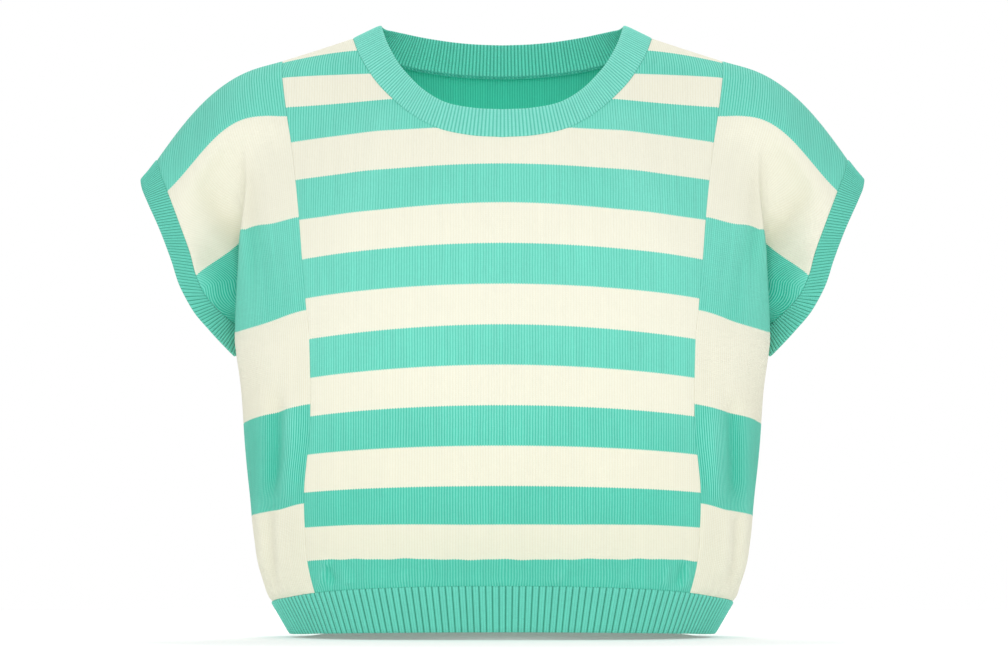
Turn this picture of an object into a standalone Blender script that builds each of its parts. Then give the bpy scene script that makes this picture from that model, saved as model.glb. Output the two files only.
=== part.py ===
"""Cropped cap-sleeve knit pullover, filled out as if worn, modelled in metres.

Frame: +X to the wearer's left, the front faces -Y, +Z up.  The origin is the
middle of the neck opening at shoulder height, where the garment is held.

The body is one lofted surface.  A section is one course of the knit, running
from the centre of the front (or back) out to the side seam, or to the cuff
seam above the underarm.  Every panel is cut from that surface and thickened
to a cloth wall; the ribbed bands are closed walls with raised ribs outside
and a plain inside.
"""
import math

import bmesh
import bpy
import numpy as np

MM = 0.001
WALL = 2.0 * MM            # cloth thickness of the panels
BAND_WALL = 2.2 * MM       # doubled rib, pressed flat
SEAM = 0.3 * MM            # gap left between two pieces along a seam
HEM_Z = -456.0             # height of the hem's lower edge, mm from the origin

HEM_RIBS = 188             # 4.6 mm apart
NECK_RIBS = 236            # 2.4 mm apart
CUFF_RIBS = 152            # 2.4 mm apart
HEM_RELIEF = 0.9 * MM
NECK_RELIEF = 0.6 * MM
CUFF_RELIEF = 0.6 * MM
NECK_BAND = 24.0           # width of the neckband, mm

NECK_PART = 0.68           # share of the centre panel that the neckline takes
NECK_CELLS, SHOULDER_CELLS = 7, 3
CHEST_CELLS, WING_CELLS = 3, 7

# One row for each course line, from the hem up.  Heights z are mm above the
# hem's edge, depths are mm in front of (or, with b_, behind) the side seam.
# 0: centre line, p: seam between centre and side panel, f: the bulge in front
# of the sleeve, e: the side seam.  turn_f and turn_e are the directions there
# seen from above, in degrees: 0 points outward, 90 straight back.
COURSE_COLUMNS = (
    "z0", "d0", "b0", "xp", "zp", "dp", "bp",
    "xf", "zf", "df", "bf", "turn_f", "xe", "ze", "turn_e", "arm")
COURSES = (
    (4.3, 96, 90, 129.0, 2.8, 71, 66, 152.5, 1.5, 37, 35, 58, 161.5, 1.0, 90, 0),
    (38.4, 104, 97, 139.2, 33.2, 78, 72, 167.0, 28.5, 41, 38, 60, 176.0, 25.7, 90, 0),
    (57.9, 113, 104, 144.5, 56.9, 84, 77, 177.0, 53.5, 43, 40, 62, 185.8, 51.0, 90, 0),
    (83.3, 124, 111, 145.9, 81.3, 92, 82, 181.5, 77.5, 46, 42, 64, 189.8, 75.0, 90, 0),
    (111.2, 131, 116, 146.2, 107.0, 98, 86, 185.5, 103.0, 48, 43, 66, 192.6, 100.5, 90, 0),
    (169.7, 134, 119, 141.4, 162.8, 105, 89, 192.5, 155.0, 46, 42, 74, 197.5, 152.5, 90, 0),
    (228.7, 133, 121, 142.4, 219.7, 106, 91, 201.5, 211.0, 36, 36, 86, 199.5, 210.5, 90, 0),
    (249.8, 131, 121, 144.8, 241.4, 103, 90, 203.0, 231.5, 36, 34, 90, 199.5, 233.0, 90, 0),
    (288.9, 126, 120, 148.5, 279.4, 97, 87, 201.0, 272.0, 42, 38, 96, 0, 0, -10, 39),
    (319.5, 119, 117, 151.3, 309.7, 89, 82, 198.3, 307.0, 46, 41, 94, 0, 0, -14, 69),
    (349.5, 109, 112, 155.0, 341.0, 77, 74, 196.5, 338.0, 47, 42, 64, 0, 0, -4, 99),
    (379.0, 96, 104, 159.4, 371.3, 62, 63, 195.0, 367.0, 47, 43, 28, 0, 0, 6, 129),
    (399.5, 84, 96, 163.0, 391.7, 52, 55, 194.3, 389.5, 48, 45, 14, 0, 0, 13, 150),
    (451.5, 49, 64, 168.7, 426.6, 27, 29, 194.0, 421.0, 25, 25, 6, 0, 0, 4, 175),
    (499.6, 0, 0, 170.2, 442.8, 0, 0, 196.5, 434.9, 0, 0, 0, 0, 0, 0, 196.6),
)
HEM_SEAM, UNDERARM, RIDGE = 1, 7, 14
BLEND = 8                  # above this course the rows fan up to the neckline

# how far the cloth folds in behind the bulge of each course
POCKET = ((7, 0), (7.6, 2.2), (8.6, 3.0), (9.3, 2.0), (10, 1.0), (11, 0.6), (11.6, 0), (14, 0))
# how sharply the cloth turns at the bulge of each course, in degrees each way
CREASE = ((0, 0), (5, 0), (6, 4), (7, 14), (8, 30), (9, 33), (10, 26), (11, 10), (12, 0), (14, 0))
LOWER_ROWS = (1, 1.5, 2, 3, 4, 5, 6, 7, 7.2, 7.5, 8)
UPPER_ROWS = 9

# The cuff seam and the cuff's outer edge, from the underarm to the shoulder,
# by the length of knit between them (arm).
ARMHOLE_COLUMNS = ("arm", "x", "z", "d", "edge_x", "edge_z", "edge_d")
ARMHOLE = (
    (0.0, 199.5, 233.0, 0.0, 205.5, 213.5, 0.0),
    (6.0, 200.9, 233.9, 5.8, 206.4, 214.4, 5.6),
    (18.0, 208.0, 240.0, 19.0, 213.2, 221.4, 17.8),
    (34.5, 217.4, 248.5, 30.5, 223.0, 232.0, 28.5),
    (55.5, 226.9, 260.5, 39.5, 235.8, 247.5, 36.5),
    (69.0, 231.7, 271.5, 42.0, 243.8, 262.0, 39.0),
    (91.0, 236.5, 289.1, 45.0, 251.3, 284.0, 42.0),
    (119.5, 245.0, 312.0, 43.0, 260.2, 307.0, 40.0),
    (150.0, 254.6, 335.8, 34.5, 271.1, 330.0, 31.0),
    (175.0, 262.2, 353.3, 20.5, 277.2, 343.0, 18.0),
    (188.0, 265.6, 363.2, 9.5, 279.0, 349.0, 8.5),
    (196.6, 267.0, 366.0, 0.0, 279.2, 350.0, 0.0),
)

# The neckline by distance from the centre, at the front and at the back, and
# how steeply the neckband stands there, in degrees above level.
# the cuffs' ribs lean towards the shoulder, by these lengths at these places, in mm
CUFF_LEAN = ((0, 0), (12, 7), (30, 14), (60, 13), (110, 5), (160, 0), (200, 0))

NECK_COLUMNS = ("x", "front_z", "back_z", "front_lean", "back_lean")
NECK = (
    (0.0, 370.4, 442.8, 68.0, 80.5),
    (25.0, 372.3, 443.2, 66.0, 79.5),
    (52.4, 380.3, 444.9, 60.0, 75.5),
    (82.3, 403.8, 448.8, 48.0, 62.0),
    (101.5, 428.0, 453.6, 36.0, 45.5),
    (111.5, 447.6, 457.6, 28.0, 33.0),
    (116.0, 460.8, 460.8, 25.6, 25.6),
)


def spline(xs, ys, x, flat_end=False):
    """Value at x of a smooth curve through (xs, ys), without overshoot."""
    xs, ys = np.asarray(xs, float), np.asarray(ys, float)
    h = np.diff(xs)
    slope = np.diff(ys) / h
    m = np.empty_like(ys)
    m[0], m[-1] = slope[0], 0.0 if flat_end else slope[-1]
    for i in range(1, len(xs) - 1):
        a, b = slope[i - 1], slope[i]
        m[i] = (a * h[i] + b * h[i - 1]) / (h[i] + h[i - 1])
        if a * b <= 0.0:
            m[i] *= 0.35
    i = int(min(max(np.searchsorted(xs, x) - 1, 0), len(xs) - 2))
    t = (x - xs[i]) / h[i]
    return ((1 + 2 * t) * (1 - t) ** 2 * ys[i] + t * (1 - t) ** 2 * h[i] * m[i]
            + t * t * (3 - 2 * t) * ys[i + 1] - t * t * (1 - t) * h[i] * m[i + 1])


def course(name, level):
    column = [row[COURSE_COLUMNS.index(name)] for row in COURSES]
    return spline(range(len(column)), column, level,
                  flat_end=name.startswith("z"))


def armhole(name, arm):
    column = [row[ARMHOLE_COLUMNS.index(name)] for row in ARMHOLE]
    return spline([row[0] for row in ARMHOLE], column, arm)


def neck(name, x):
    column = [row[NECK_COLUMNS.index(name)] for row in NECK]
    return spline([row[0] for row in NECK], column, min(abs(x), 116.0))


def arm_length(level):
    """Knit between the underarm and the place where a course meets the cuff."""
    arms = [row[-1] for row in COURSES[UNDERARM:]]
    return spline(range(UNDERARM, RIDGE + 1), arms, level)


def hermite(a, ta, b, tb, t):
    return ((1 + 2 * t) * (1 - t) ** 2 * a + t * (1 - t) ** 2 * ta
            + t * t * (3 - 2 * t) * b - t * t * (1 - t) * tb)


def heading(degrees, rise):
    """A unit direction: seen from above 0 is out and 90 is back; rise is up."""
    angle, level = math.radians(degrees), math.sqrt(1.0 - rise * rise)
    return np.array((level * math.cos(angle), level * math.sin(angle), rise))


def stations(level, back):
    """Centre, panel seam, bulge and outer end of one course, in mm."""
    sign = 1.0 if back else -1.0
    d0, dp, df = ("b0", "bp", "bf") if back else ("d0", "dp", "df")
    z0 = course("zp", level) if back else course("z0", level)
    if back and level > 12:
        z0 = course("z0", level)
    elif back and level > 10:
        z0 += (course("z0", level) - z0) * (level - 10) / 2
    o = np.array((0.0, sign * course(d0, level), z0))
    p = np.array((course("xp", level), sign * course(dp, level), course("zp", level)))
    f = np.array((course("xf", level), sign * course(df, level), course("zf", level)))
    if level >= UNDERARM:
        arm = arm_length(level)
        e = np.array((armhole("x", arm), sign * armhole("d", arm), armhole("z", arm)))
    else:
        e = np.array((spline(range(UNDERARM + 1), [r[12] for r in COURSES[:UNDERARM + 1]], level),
                      0.0,
                      spline(range(UNDERARM + 1), [r[13] for r in COURSES[:UNDERARM + 1]], level)))
    return o, p, f, e


def surface(part, level, back=False):
    """A point of the body: part 0..1 centre panel, 1..2 chest, 2..3 wing."""
    o, p, f, e = stations(level, back)
    flip = np.array((1.0, -1.0 if back else 1.0, 1.0))
    o, p, f, e = o * flip, p * flip, f * flip, e * flip
    op, pf, fe = (np.linalg.norm(b - a) for a, b in ((o, p), (p, f), (f, e)))
    fall = (p - o)[2] / op * min(max(level - 12.0, 0.0) / 2.0, 1.0)
    at_o = heading(0.0, fall)
    at_p = (p - o) / op * pf + (f - p) / pf * op
    at_p /= np.linalg.norm(at_p)
    before, after = (f - p)[2] / pf, (e - f)[2] / fe
    rise = (before * fe + after * pf) / (pf + fe)
    crease = float(np.interp(level, *zip(*CREASE)))
    to_f = heading(course("turn_f", level) - crease, rise)
    from_f = heading(course("turn_f", level) + crease, rise)
    if level > UNDERARM:
        arm = arm_length(level)
        cuff = unit(np.array([armhole("edge_" + c, arm) - armhole(c, arm)
                              for c in "xdz"]) * np.array((1.0, -1.0, 1.0)))
        at_e = heading(course("turn_e", level), max(-0.85, 1.5 * after - rise / 2))
        at_e = unit(at_e + cuff * (0.8 + 4.0 * max(0.0, 1.0 - arm / 60.0)))
    else:
        at_e = heading(90.0, 0.0)
    if part <= 1:
        q = hermite(o, at_o * op, p, at_p * op, part)
    elif part <= 2:
        q = hermite(p, at_p * pf, f, to_f * pf, part - 1)
    else:
        fold = float(np.interp(level, *zip(*POCKET)))
        q = hermite(f, from_f * fe * (1.0 + fold), e, at_e * fe, part - 2)
    return q * flip


def neckline_level(part, back):
    """The course on which a column of the centre panel meets the neckline."""
    low, high = float(BLEND), float(RIDGE)
    name = "back_z" if back else "front_z"
    for _ in range(40):
        middle = (low + high) / 2
        q = surface(part, middle, back)
        if q[2] > neck(name, q[0]):
            high = middle
        else:
            low = middle
    return (low + high) / 2


def column_levels(part, back):
    top = float(RIDGE)
    if part < NECK_PART - 1e-9:
        top = neckline_level(part, back)
    upper = [BLEND + (top - BLEND) * (1 - (1 - k / UPPER_ROWS) ** 1.15)
             for k in range(1, UPPER_ROWS + 1)]
    return list(LOWER_ROWS) + upper


def centre_parts():
    neck_side = [NECK_PART * math.sin(math.pi / 2 * k / NECK_CELLS)
                 for k in range(NECK_CELLS + 1)]
    shoulder = [NECK_PART + (1 - NECK_PART) * k / SHOULDER_CELLS
                for k in range(1, SHOULDER_CELLS + 1)]
    return neck_side + shoulder


def side_parts():
    chest = [1 + k / CHEST_CELLS for k in range(CHEST_CELLS)]
    wing = [2 + k / WING_CELLS for k in range(WING_CELLS + 1)]
    return chest + wing


def grid(parts, back):
    """Points of a panel in metres: one row for each course, from the hem up."""
    columns = [[surface(part, level, back) for level in column_levels(part, back)]
               for part in parts]
    points = np.array(columns).transpose(1, 0, 2)
    points[:, :, 2] += HEM_Z
    return points * MM


def draw_in(points, facing, borders):
    """Moves borders half a seam gap back into the panel, square to themselves.

    Each border is the indices of its points and of the points next to them.
    """
    moved = points.copy()
    for line, inside in borders:
        run = np.gradient(points[line], axis=0)
        step = unit(np.cross(facing[line], run))
        if np.sum(step * (points[inside] - points[line])) < 0:
            step = -step
        moved[line] += step * SEAM * 0.8
    return moved


def material(name, colour, roughness):
    made = bpy.data.materials.new(name)
    made.use_nodes = True
    shader = made.node_tree.nodes["Principled BSDF"]
    shader.inputs["Base Color"].default_value = (*colour, 1.0)
    shader.inputs["Roughness"].default_value = roughness
    shader.inputs["Metallic"].default_value = 0.0
    return made


def add_object(name, mesh_builder, look, collection):
    mesh = bpy.data.meshes.new(name)
    bm = bmesh.new()
    mesh_builder(bm)
    bm.to_mesh(mesh)
    bm.free()
    mesh.shade_smooth()
    mesh.set_sharp_from_angle(angle=math.radians(50))
    mesh.materials.append(look)
    obj = bpy.data.objects.new(name, mesh)
    collection.objects.link(obj)
    return obj


def panel(name, points, facing, look, collection, flip=False, mirrored=False):
    """A cloth wall on the lofted grid, mirrored if it crosses the centre.

    The inner skin is set off along directions shared with the neighbouring
    pieces, so that the two borders of a seam are mitred and stay parallel.
    """
    inside = points - facing * WALL

    def build(bm):
        rows, columns = points.shape[:2]
        skins = [[[bm.verts.new(skin[r, c]) for c in range(columns)]
                  for r in range(rows)] for skin in (points, inside)]
        for skin, turned in zip(skins, (flip, not flip)):
            for r in range(rows - 1):
                for c in range(columns - 1):
                    face = [skin[r][c], skin[r][c + 1],
                            skin[r + 1][c + 1], skin[r + 1][c]]
                    bm.faces.new(face[::-1] if turned else face)
        border = [(0, c) for c in range(columns)]
        border += [(r, columns - 1) for r in range(1, rows)]
        border += [(rows - 1, c) for c in range(columns - 2, -1, -1)]
        if not mirrored:
            border += [(r, 0) for r in range(rows - 2, -1, -1)]
        for (r, c), (r2, c2) in zip(border, border[1:]):
            face = [skins[0][r2][c2], skins[0][r][c], skins[1][r][c], skins[1][r2][c2]]
            bm.faces.new(face[::-1] if flip else face)
    obj = add_object(name, build, look, collection)
    if mirrored:
        mirror = obj.modifiers.new("Mirror", "MIRROR")
        mirror.use_axis = (True, False, False)
        mirror.use_clip = True
        mirror.use_mirror_merge = True
        mirror.merge_threshold = 0.00001
    return obj


def ring_samples(points, count):
    """Where count even steps along a closed line of points fall in it."""
    closed = np.vstack((points, points[:1]))
    length = np.concatenate(((0.0,), np.cumsum(
        np.linalg.norm(np.diff(closed, axis=0), axis=1))))
    places = np.arange(count) / count * length[-1]
    index = np.searchsorted(length, places, side="right") - 1
    share = (places - length[index]) / (length[index + 1] - length[index])
    return index, share[:, None]


def sample(points, index, share):
    closed = np.vstack((points, points[:1]))
    return closed[index] * (1 - share) + closed[index + 1] * share


def ribbed_band(name, seam, edge, seam_normals, ribs, relief, look, collection,
                gap=SEAM / 2):
    """A closed band from its seam to its free edge.

    Outside there are two points for each rib, on its crest and in its groove;
    the plain inside has one point for every two ribs.
    """
    across = edge - seam
    across /= np.linalg.norm(across, axis=1)[:, None]
    along = np.roll(seam, -1, axis=0) - np.roll(seam, 1, axis=0)
    out = np.cross(along, across)
    out /= np.linalg.norm(out, axis=1)[:, None]
    if np.sum(out * seam_normals) < 0:
        out = -out
    start = seam + across * gap
    inner_start = start - seam_normals * BAND_WALL
    inner_edge = edge - out * BAND_WALL

    index, share = ring_samples(seam, 2 * ribs)
    raise_by = np.where(np.arange(2 * ribs) % 2 == 0, relief, 0.0)[:, None]
    outer = (sample(start, index, share)
             + sample(seam_normals, index, share) * raise_by,
             sample(edge, index, share) + sample(out, index, share) * raise_by)
    inner_index, inner_share = index[::4], share[::4]
    inner = (sample(inner_start, inner_index, inner_share),
             sample(inner_edge, inner_index, inner_share))

    def build(bm):
        rings = [[bm.verts.new(p) for p in ring] for ring in (*outer, *inner)]
        outer_seam, outer_edge, inner_seam, inner_free = rings
        count, few = len(outer_seam), len(inner_seam)
        for i in range(count):
            j = (i + 1) % count
            bm.faces.new((outer_seam[i], outer_seam[j], outer_edge[j], outer_edge[i]))
        for i in range(few):
            j = (i + 1) % few
            bm.faces.new((inner_seam[j], inner_seam[i], inner_free[i], inner_free[j]))
            for near, far, turn in ((outer_seam, inner_seam, True),
                                    (outer_edge, inner_free, False)):
                fan = [near[(4 * i + k) % count] for k in range(5)]
                face = fan + [far[j], far[i]]
                bm.faces.new(face[::-1] if turn else face)
        bmesh.ops.recalc_face_normals(bm, faces=bm.faces)
    return add_object(name, build, look, collection)


def unit(vectors):
    return vectors / np.linalg.norm(vectors, axis=-1)[..., None]


def grid_normals(points, flip):
    """The outward direction at each point of a panel's grid."""
    wide = np.diff(points, axis=1)
    tall = np.diff(points, axis=0)
    faces = unit(np.cross(wide[:-1] + wide[1:], tall[:, :-1] + tall[:, 1:]))
    total = np.zeros_like(points)
    for r in (0, 1):
        for c in (0, 1):
            total[r:r + faces.shape[0], c:c + faces.shape[1]] += faces
    return unit(total) * (-1.0 if flip else 1.0)


def both_halves(half):
    """A closed ring from the half that starts and ends on the centre plane."""
    half = half.copy()
    half[[0, -1], 0] = 0.0
    return np.vstack((half, (half * np.array((-1.0, 1.0, 1.0)))[-2:0:-1]))


def front_then_back(front, back, directions=False):
    """Joins a line on the front to the same line on the back, run backwards."""
    joint = (front[-1] + back[-1]) / 2
    joined = np.vstack((front[:-1], joint[None], back[-2::-1]))
    return unit(joined) if directions else joined


def main():
    for obj in list(bpy.data.objects):
        bpy.data.objects.remove(obj, do_unlink=True)
    garment = bpy.data.collections.new("cap_sleeve_pullover")
    bpy.context.scene.collection.children.link(garment)

    cream = material("cream_knit", (0.91, 0.90, 0.78), 0.9)
    stripe = material("mint_and_cream_stripe", (0.52, 0.79, 0.66), 0.9)
    mint = material("mint_rib", (0.20, 0.70, 0.57), 0.9)

    # the body's half grids, and the directions they face
    count = len(centre_parts())
    last = NECK_CELLS + 1
    levels = column_levels(3.0, False)
    first = levels.index(UNDERARM)
    front = grid(centre_parts() + side_parts()[1:], back=False)
    rear = grid(centre_parts() + side_parts()[1:], back=True)
    front_out, rear_out = grid_normals(front, False), grid_normals(rear, True)
    front_out[:, 0, 0] = rear_out[:, 0, 0] = 0.0
    front_out, rear_out = unit(front_out), unit(rear_out)
    for joint in (np.s_[-1, last - 1:], np.s_[:first + 1, -1]):
        front_out[joint] = rear_out[joint] = unit(front_out[joint] + rear_out[joint])
    for _ in range(3):       # let the armhole's edge turn evenly at the underarm
        ring = front_then_back(front_out[first:, -1], rear_out[first:, -1], True)[:-1]
        ring = unit(ring * 2 + np.roll(ring, 1, axis=0) + np.roll(ring, -1, axis=0))
        half = len(levels) - first
        front_out[first:, -1] = ring[:half]
        rear_out[first:, -1] = np.vstack((ring, ring[:1]))[half - 1:][::-1]

    # hem band: from the panels' lowest course to the free edge
    parts = centre_parts() + side_parts()[1:]
    edges = [np.array([surface(part, 0.0, back) for part in parts])
             + np.array((0.0, 0.0, HEM_Z)) for back in (False, True)]
    ribbed_band("hem_rib",
                both_halves(front_then_back(front[0], rear[0])),
                both_halves(front_then_back(*edges) * MM),
                unit(both_halves(front_then_back(front_out[0], rear_out[0], True))),
                HEM_RIBS, HEM_RELIEF, mint, garment)

    # neckband: stands up from the neckline
    rings = []
    for points, back in ((front[-1, :last], False), (rear[-1, :last], True)):
        edge = []
        for q in points / MM:
            lean = math.radians(neck("back_lean" if back else "front_lean", q[0]))
            inward = unit(np.array((-q[0] * 0.9, (2.0 if back else -14.0) - q[1], 0.0)))
            if q[0] > 115.0:
                inward = np.array((-1.0, 0.0, 0.0))
            edge.append(q + NECK_BAND * (inward * math.cos(lean)
                                         + np.array((0.0, 0.0, math.sin(lean)))))
        rings.append(np.array(edge) * MM)
    ribbed_band("neckband",
                both_halves(front_then_back(front[-1, :last], rear[-1, :last])),
                both_halves(front_then_back(*rings)),
                unit(both_halves(front_then_back(front_out[-1, :last],
                                                 rear_out[-1, :last], True))),
                NECK_RIBS, NECK_RELIEF, mint, garment)

    # cuffs: up the front of the armhole and down its back
    arms = [float(arm_length(level)) for level in levels[first:]]
    across = [arm + float(np.interp(arm, *zip(*CUFF_LEAN))) for arm in arms]
    free = [[(armhole("edge_x", arm), sign * armhole("edge_d", arm),
              armhole("edge_z", arm) + HEM_Z) for arm in across] for sign in (-1.0, 1.0)]
    seam = front_then_back(front[first:, -1], rear[first:, -1])[:-1]
    edge = (front_then_back(*(np.array(line) for line in free)) * MM)[:-1]
    facing = front_then_back(front_out[first:, -1], rear_out[first:, -1], True)[:-1]
    for name, hand in (("cuff_left", 1.0), ("cuff_right", -1.0)):
        turn = np.array((hand, 1.0, 1.0))
        ribbed_band(name, seam * turn, edge * turn, facing * turn,
                    CUFF_RIBS, CUFF_RELIEF, mint, garment, gap=SEAM)

    # panels, each drawn in from its seams
    outer_borders = [
        (np.s_[0, :], np.s_[1, :]),                      # hem
        (np.s_[-1, :last], np.s_[-2, :last]),            # neckline
        (np.s_[-1, last - 1:], np.s_[-2, last - 1:]),    # shoulder
        (np.s_[:first + 1, -1], np.s_[:first + 1, -2]),  # side seam
        (np.s_[first:, -1], np.s_[first:, -2])]          # armhole
    rear = draw_in(rear, rear_out, outer_borders)
    front = draw_in(front, front_out, outer_borders)
    seam_line = [(np.s_[:, count - 1], np.s_[:, count - 2])]
    centre = draw_in(front, front_out, seam_line)[:, :count]
    seam_line = [(np.s_[:, count - 1], np.s_[:, count])]
    side = draw_in(front, front_out, seam_line)[:, count - 1:]
    for points in (centre, rear):
        points[:, 0, 0] = 0.0
    hand = np.array((-1.0, 1.0, 1.0))
    panel("front_centre", centre, front_out[:, :count], stripe, garment, mirrored=True)
    panel("front_side_left", side, front_out[:, count - 1:], cream, garment)
    panel("front_side_right", side * hand, front_out[:, count - 1:] * hand, cream,
          garment, flip=True)
    panel("back", rear, rear_out, cream, garment, flip=True, mirrored=True)


main()
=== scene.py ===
# %% [markdown]
# # A cropped knit pullover with cap sleeves
#
# The real garment is a fine-gauge cotton jersey: four knitted panels in mint and
# cream stripes, linked to a ribbed neckband, two ribbed cuffs and a ribbed hem.
# It is shown filled out, as if worn, with nobody in it.
#
# The solids of the part are already in one frame. Each of them is plain cloth
# with hard borders, so every piece here is knitted again as a fine shell that
# lies on its solid and takes its place in the picture.

# %% Load the frame
import math

import bpy
import numpy as np
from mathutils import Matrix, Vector


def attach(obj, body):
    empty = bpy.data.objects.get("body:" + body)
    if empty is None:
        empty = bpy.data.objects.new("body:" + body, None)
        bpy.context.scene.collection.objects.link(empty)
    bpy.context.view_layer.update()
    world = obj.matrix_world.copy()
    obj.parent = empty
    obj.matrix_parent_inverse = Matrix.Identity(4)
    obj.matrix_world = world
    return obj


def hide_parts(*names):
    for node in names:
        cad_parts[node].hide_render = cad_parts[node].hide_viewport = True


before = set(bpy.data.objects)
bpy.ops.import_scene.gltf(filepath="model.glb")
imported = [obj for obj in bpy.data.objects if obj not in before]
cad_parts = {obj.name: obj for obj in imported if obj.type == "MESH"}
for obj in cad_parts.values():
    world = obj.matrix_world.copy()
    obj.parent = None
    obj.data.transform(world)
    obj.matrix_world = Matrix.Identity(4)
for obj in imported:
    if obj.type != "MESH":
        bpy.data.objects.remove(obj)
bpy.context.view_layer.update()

print("pieces of the part:", ", ".join(sorted(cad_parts)))

# %% [markdown]
# ## The form of the body
#
# A knitted body is easiest to describe the way it is made: course by course, from
# the hem to the shoulder. Each row below is one course of the knit, with the
# heights and depths, in millimetres, at the centre line, at the seam between
# centre and side panel, at the bulge in front of the sleeve and at the side seam.
# A sculpted mesh would look as good from one side, but a table of courses also
# says where every stitch lies, and the stripes need that.

# %% The courses of the knit
MM = 0.001
HEM_Z = -456.0             # height of the hem's lower edge, mm
COURSE_COLUMNS = (
    "z0", "d0", "b0", "xp", "zp", "dp", "bp",
    "xf", "zf", "df", "bf", "turn_f", "xe", "ze", "turn_e", "arm")
COURSES = (
    (4.3, 96, 90, 129.0, 2.8, 71, 66, 152.5, 1.5, 37, 35, 58, 161.5, 1.0, 90, 0),
    (38.4, 104, 97, 139.2, 33.2, 78, 72, 167.0, 28.5, 41, 38, 60, 176.0, 25.7, 90, 0),
    (57.9, 113, 104, 144.5, 56.9, 84, 77, 177.0, 53.5, 43, 40, 62, 185.8, 51.0, 90, 0),
    (83.3, 124, 111, 145.9, 81.3, 92, 82, 181.5, 77.5, 46, 42, 64, 189.8, 75.0, 90, 0),
    (111.2, 131, 116, 146.2, 107.0, 98, 86, 185.5, 103.0, 48, 43, 66, 192.6, 100.5, 90, 0),
    (169.7, 134, 119, 141.4, 162.8, 105, 89, 192.5, 155.0, 46, 42, 74, 197.5, 152.5, 90, 0),
    (228.7, 133, 121, 142.4, 219.7, 106, 91, 201.5, 211.0, 36, 36, 86, 199.5, 210.5, 90, 0),
    (249.8, 131, 121, 144.8, 241.4, 103, 90, 203.0, 231.5, 36, 34, 90, 199.5, 233.0, 90, 0),
    (288.9, 126, 120, 148.5, 279.4, 97, 87, 201.0, 272.0, 42, 38, 96, 0, 0, -10, 39),
    (319.5, 119, 117, 151.3, 309.7, 89, 82, 198.3, 307.0, 46, 41, 94, 0, 0, -14, 69),
    (349.5, 109, 112, 155.0, 341.0, 77, 74, 196.5, 338.0, 47, 42, 64, 0, 0, -4, 99),
    (379.0, 96, 104, 159.4, 371.3, 62, 63, 195.0, 367.0, 47, 43, 28, 0, 0, 6, 129),
    (399.5, 84, 96, 163.0, 391.7, 52, 55, 194.3, 389.5, 48, 45, 14, 0, 0, 13, 150),
    (451.5, 49, 64, 168.7, 426.6, 27, 29, 194.0, 421.0, 25, 25, 6, 0, 0, 4, 175),
    (499.6, 0, 0, 170.2, 442.8, 0, 0, 196.5, 434.9, 0, 0, 0, 0, 0, 0, 196.6),
)
HEM_SEAM, UNDERARM, RIDGE = 1, 7, 14     # rows of the table at these places
BLEND = 8                  # above this course the rows fan up to the neckline
BACK_RISE = (10, 2)        # the back's centre rises from this course, over so many
SHOULDER_FALL = (12.0, 2.0)    # the front slopes down from this course, over so many
print(len(COURSES), "courses,", COURSES[HEM_SEAM][0], "to", COURSES[RIDGE][0], "mm high")

# %% [markdown]
# ### The fold under the arm
#
# The cap of the sleeve hangs beside the body, and below the armhole its cloth folds
# in behind the bulge of the body, so the body's edge stands before the sleeve.
# Two short tables say how deep the cloth goes in and how sharply it turns there,
# course by course. A sleeve of its own would be easier to place, but this one is
# knitted in one with the body, with no seam that could hide a joint.

# %% The fold under the arm
# how far the cloth folds in behind the bulge of each course
POCKET = ((7, 0), (7.6, 2.2), (8.6, 3.0), (9.3, 2.0), (10, 1.0), (11, 0.6), (11.6, 0), (14, 0))
# how sharply the cloth turns at the bulge of each course, in degrees each way
CREASE = ((0, 0), (5, 0), (6, 4), (7, 14), (8, 30), (9, 33), (10, 26), (11, 10), (12, 0),
          (14, 0))
print("deepest fold on course", max(POCKET, key=lambda row: row[1])[0])

# %% [markdown]
# ### Lengths of cloth
#
# Stripes are counted in courses of knit, not in heights, so a place that slopes
# or bulges needs to know how much cloth lies below it. Worn cloth also hangs from
# its seams, which pulls the wide stripes of the side panels up or down by a few
# millimetres. Both are short tables, since a guess from heights alone would put
# the stripes of two panels side by side that don't meet on the real garment.

# %% Lengths of cloth
# length of knit above the hem seam at each course, in mm: at the centre line,
# at the panel seam and at the side seam or cuff
KNIT = (
    (-34, -34, -34), (0, 0, 0), (24, 24, 24), (54, 54, 54), (84, 84, 84),
    (144, 144, 144), (204, 204, 204), (225.3, 225.3, 225.3), (264, 264, 264),
    (294, 294, 294), (324, 324, 324), (354, 354, 354), (375, 375, 375),
    (459, 415.5, 400), (512, 461, 421.6))

# how far the stripes of the side panels hang from their courses, in mm of knit,
# and how far out on the panel each column stands (see surface, below)
STRIPE_PULL_COLUMNS = ("level", "seam", "chest", "ridge", "bulge", "cap", "cuff")
STRIPE_PULL_PARTS = (1.0, 1.5, 1.87, 2.0, 2.35, 3.0)
STRIPE_PULL = (
    (0.0, 0.0, 0.0, 0.0, 0.0, 0.0, 0.0), (1.0, 0.0, 0.0, 0.0, 0.0, 0.0, 0.0),
    (3.6, 0.0, 3.2, 3.5, 3.7, 3.4, 3.0), (5.2, 1.5, 3.4, 3.6, 3.8, 3.4, 3.0),
    (7.0, 0.0, 2.6, 2.2, 1.6, 2.4, 2.4), (9.0, -2.2, 2.8, 2.6, 0.2, -12.0, -1.0),
    (12.0, -1.2, -2.0, -2.0, -2.0, -2.0, -2.6), (14.0, 0.0, 0.0, 0.0, 0.0, 0.0, 0.0))
print(KNIT[-1][0] - KNIT[HEM_SEAM][0], "mm of knit up the centre line")

# %% [markdown]
# ### Armhole and neckline
#
# The two openings are curves of their own. Each row is a point on the seam, in
# millimetres, and says where the free edge of the ribbed band lies or how far it
# leans from the level, since the bands don't stand straight off the cloth.

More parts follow.
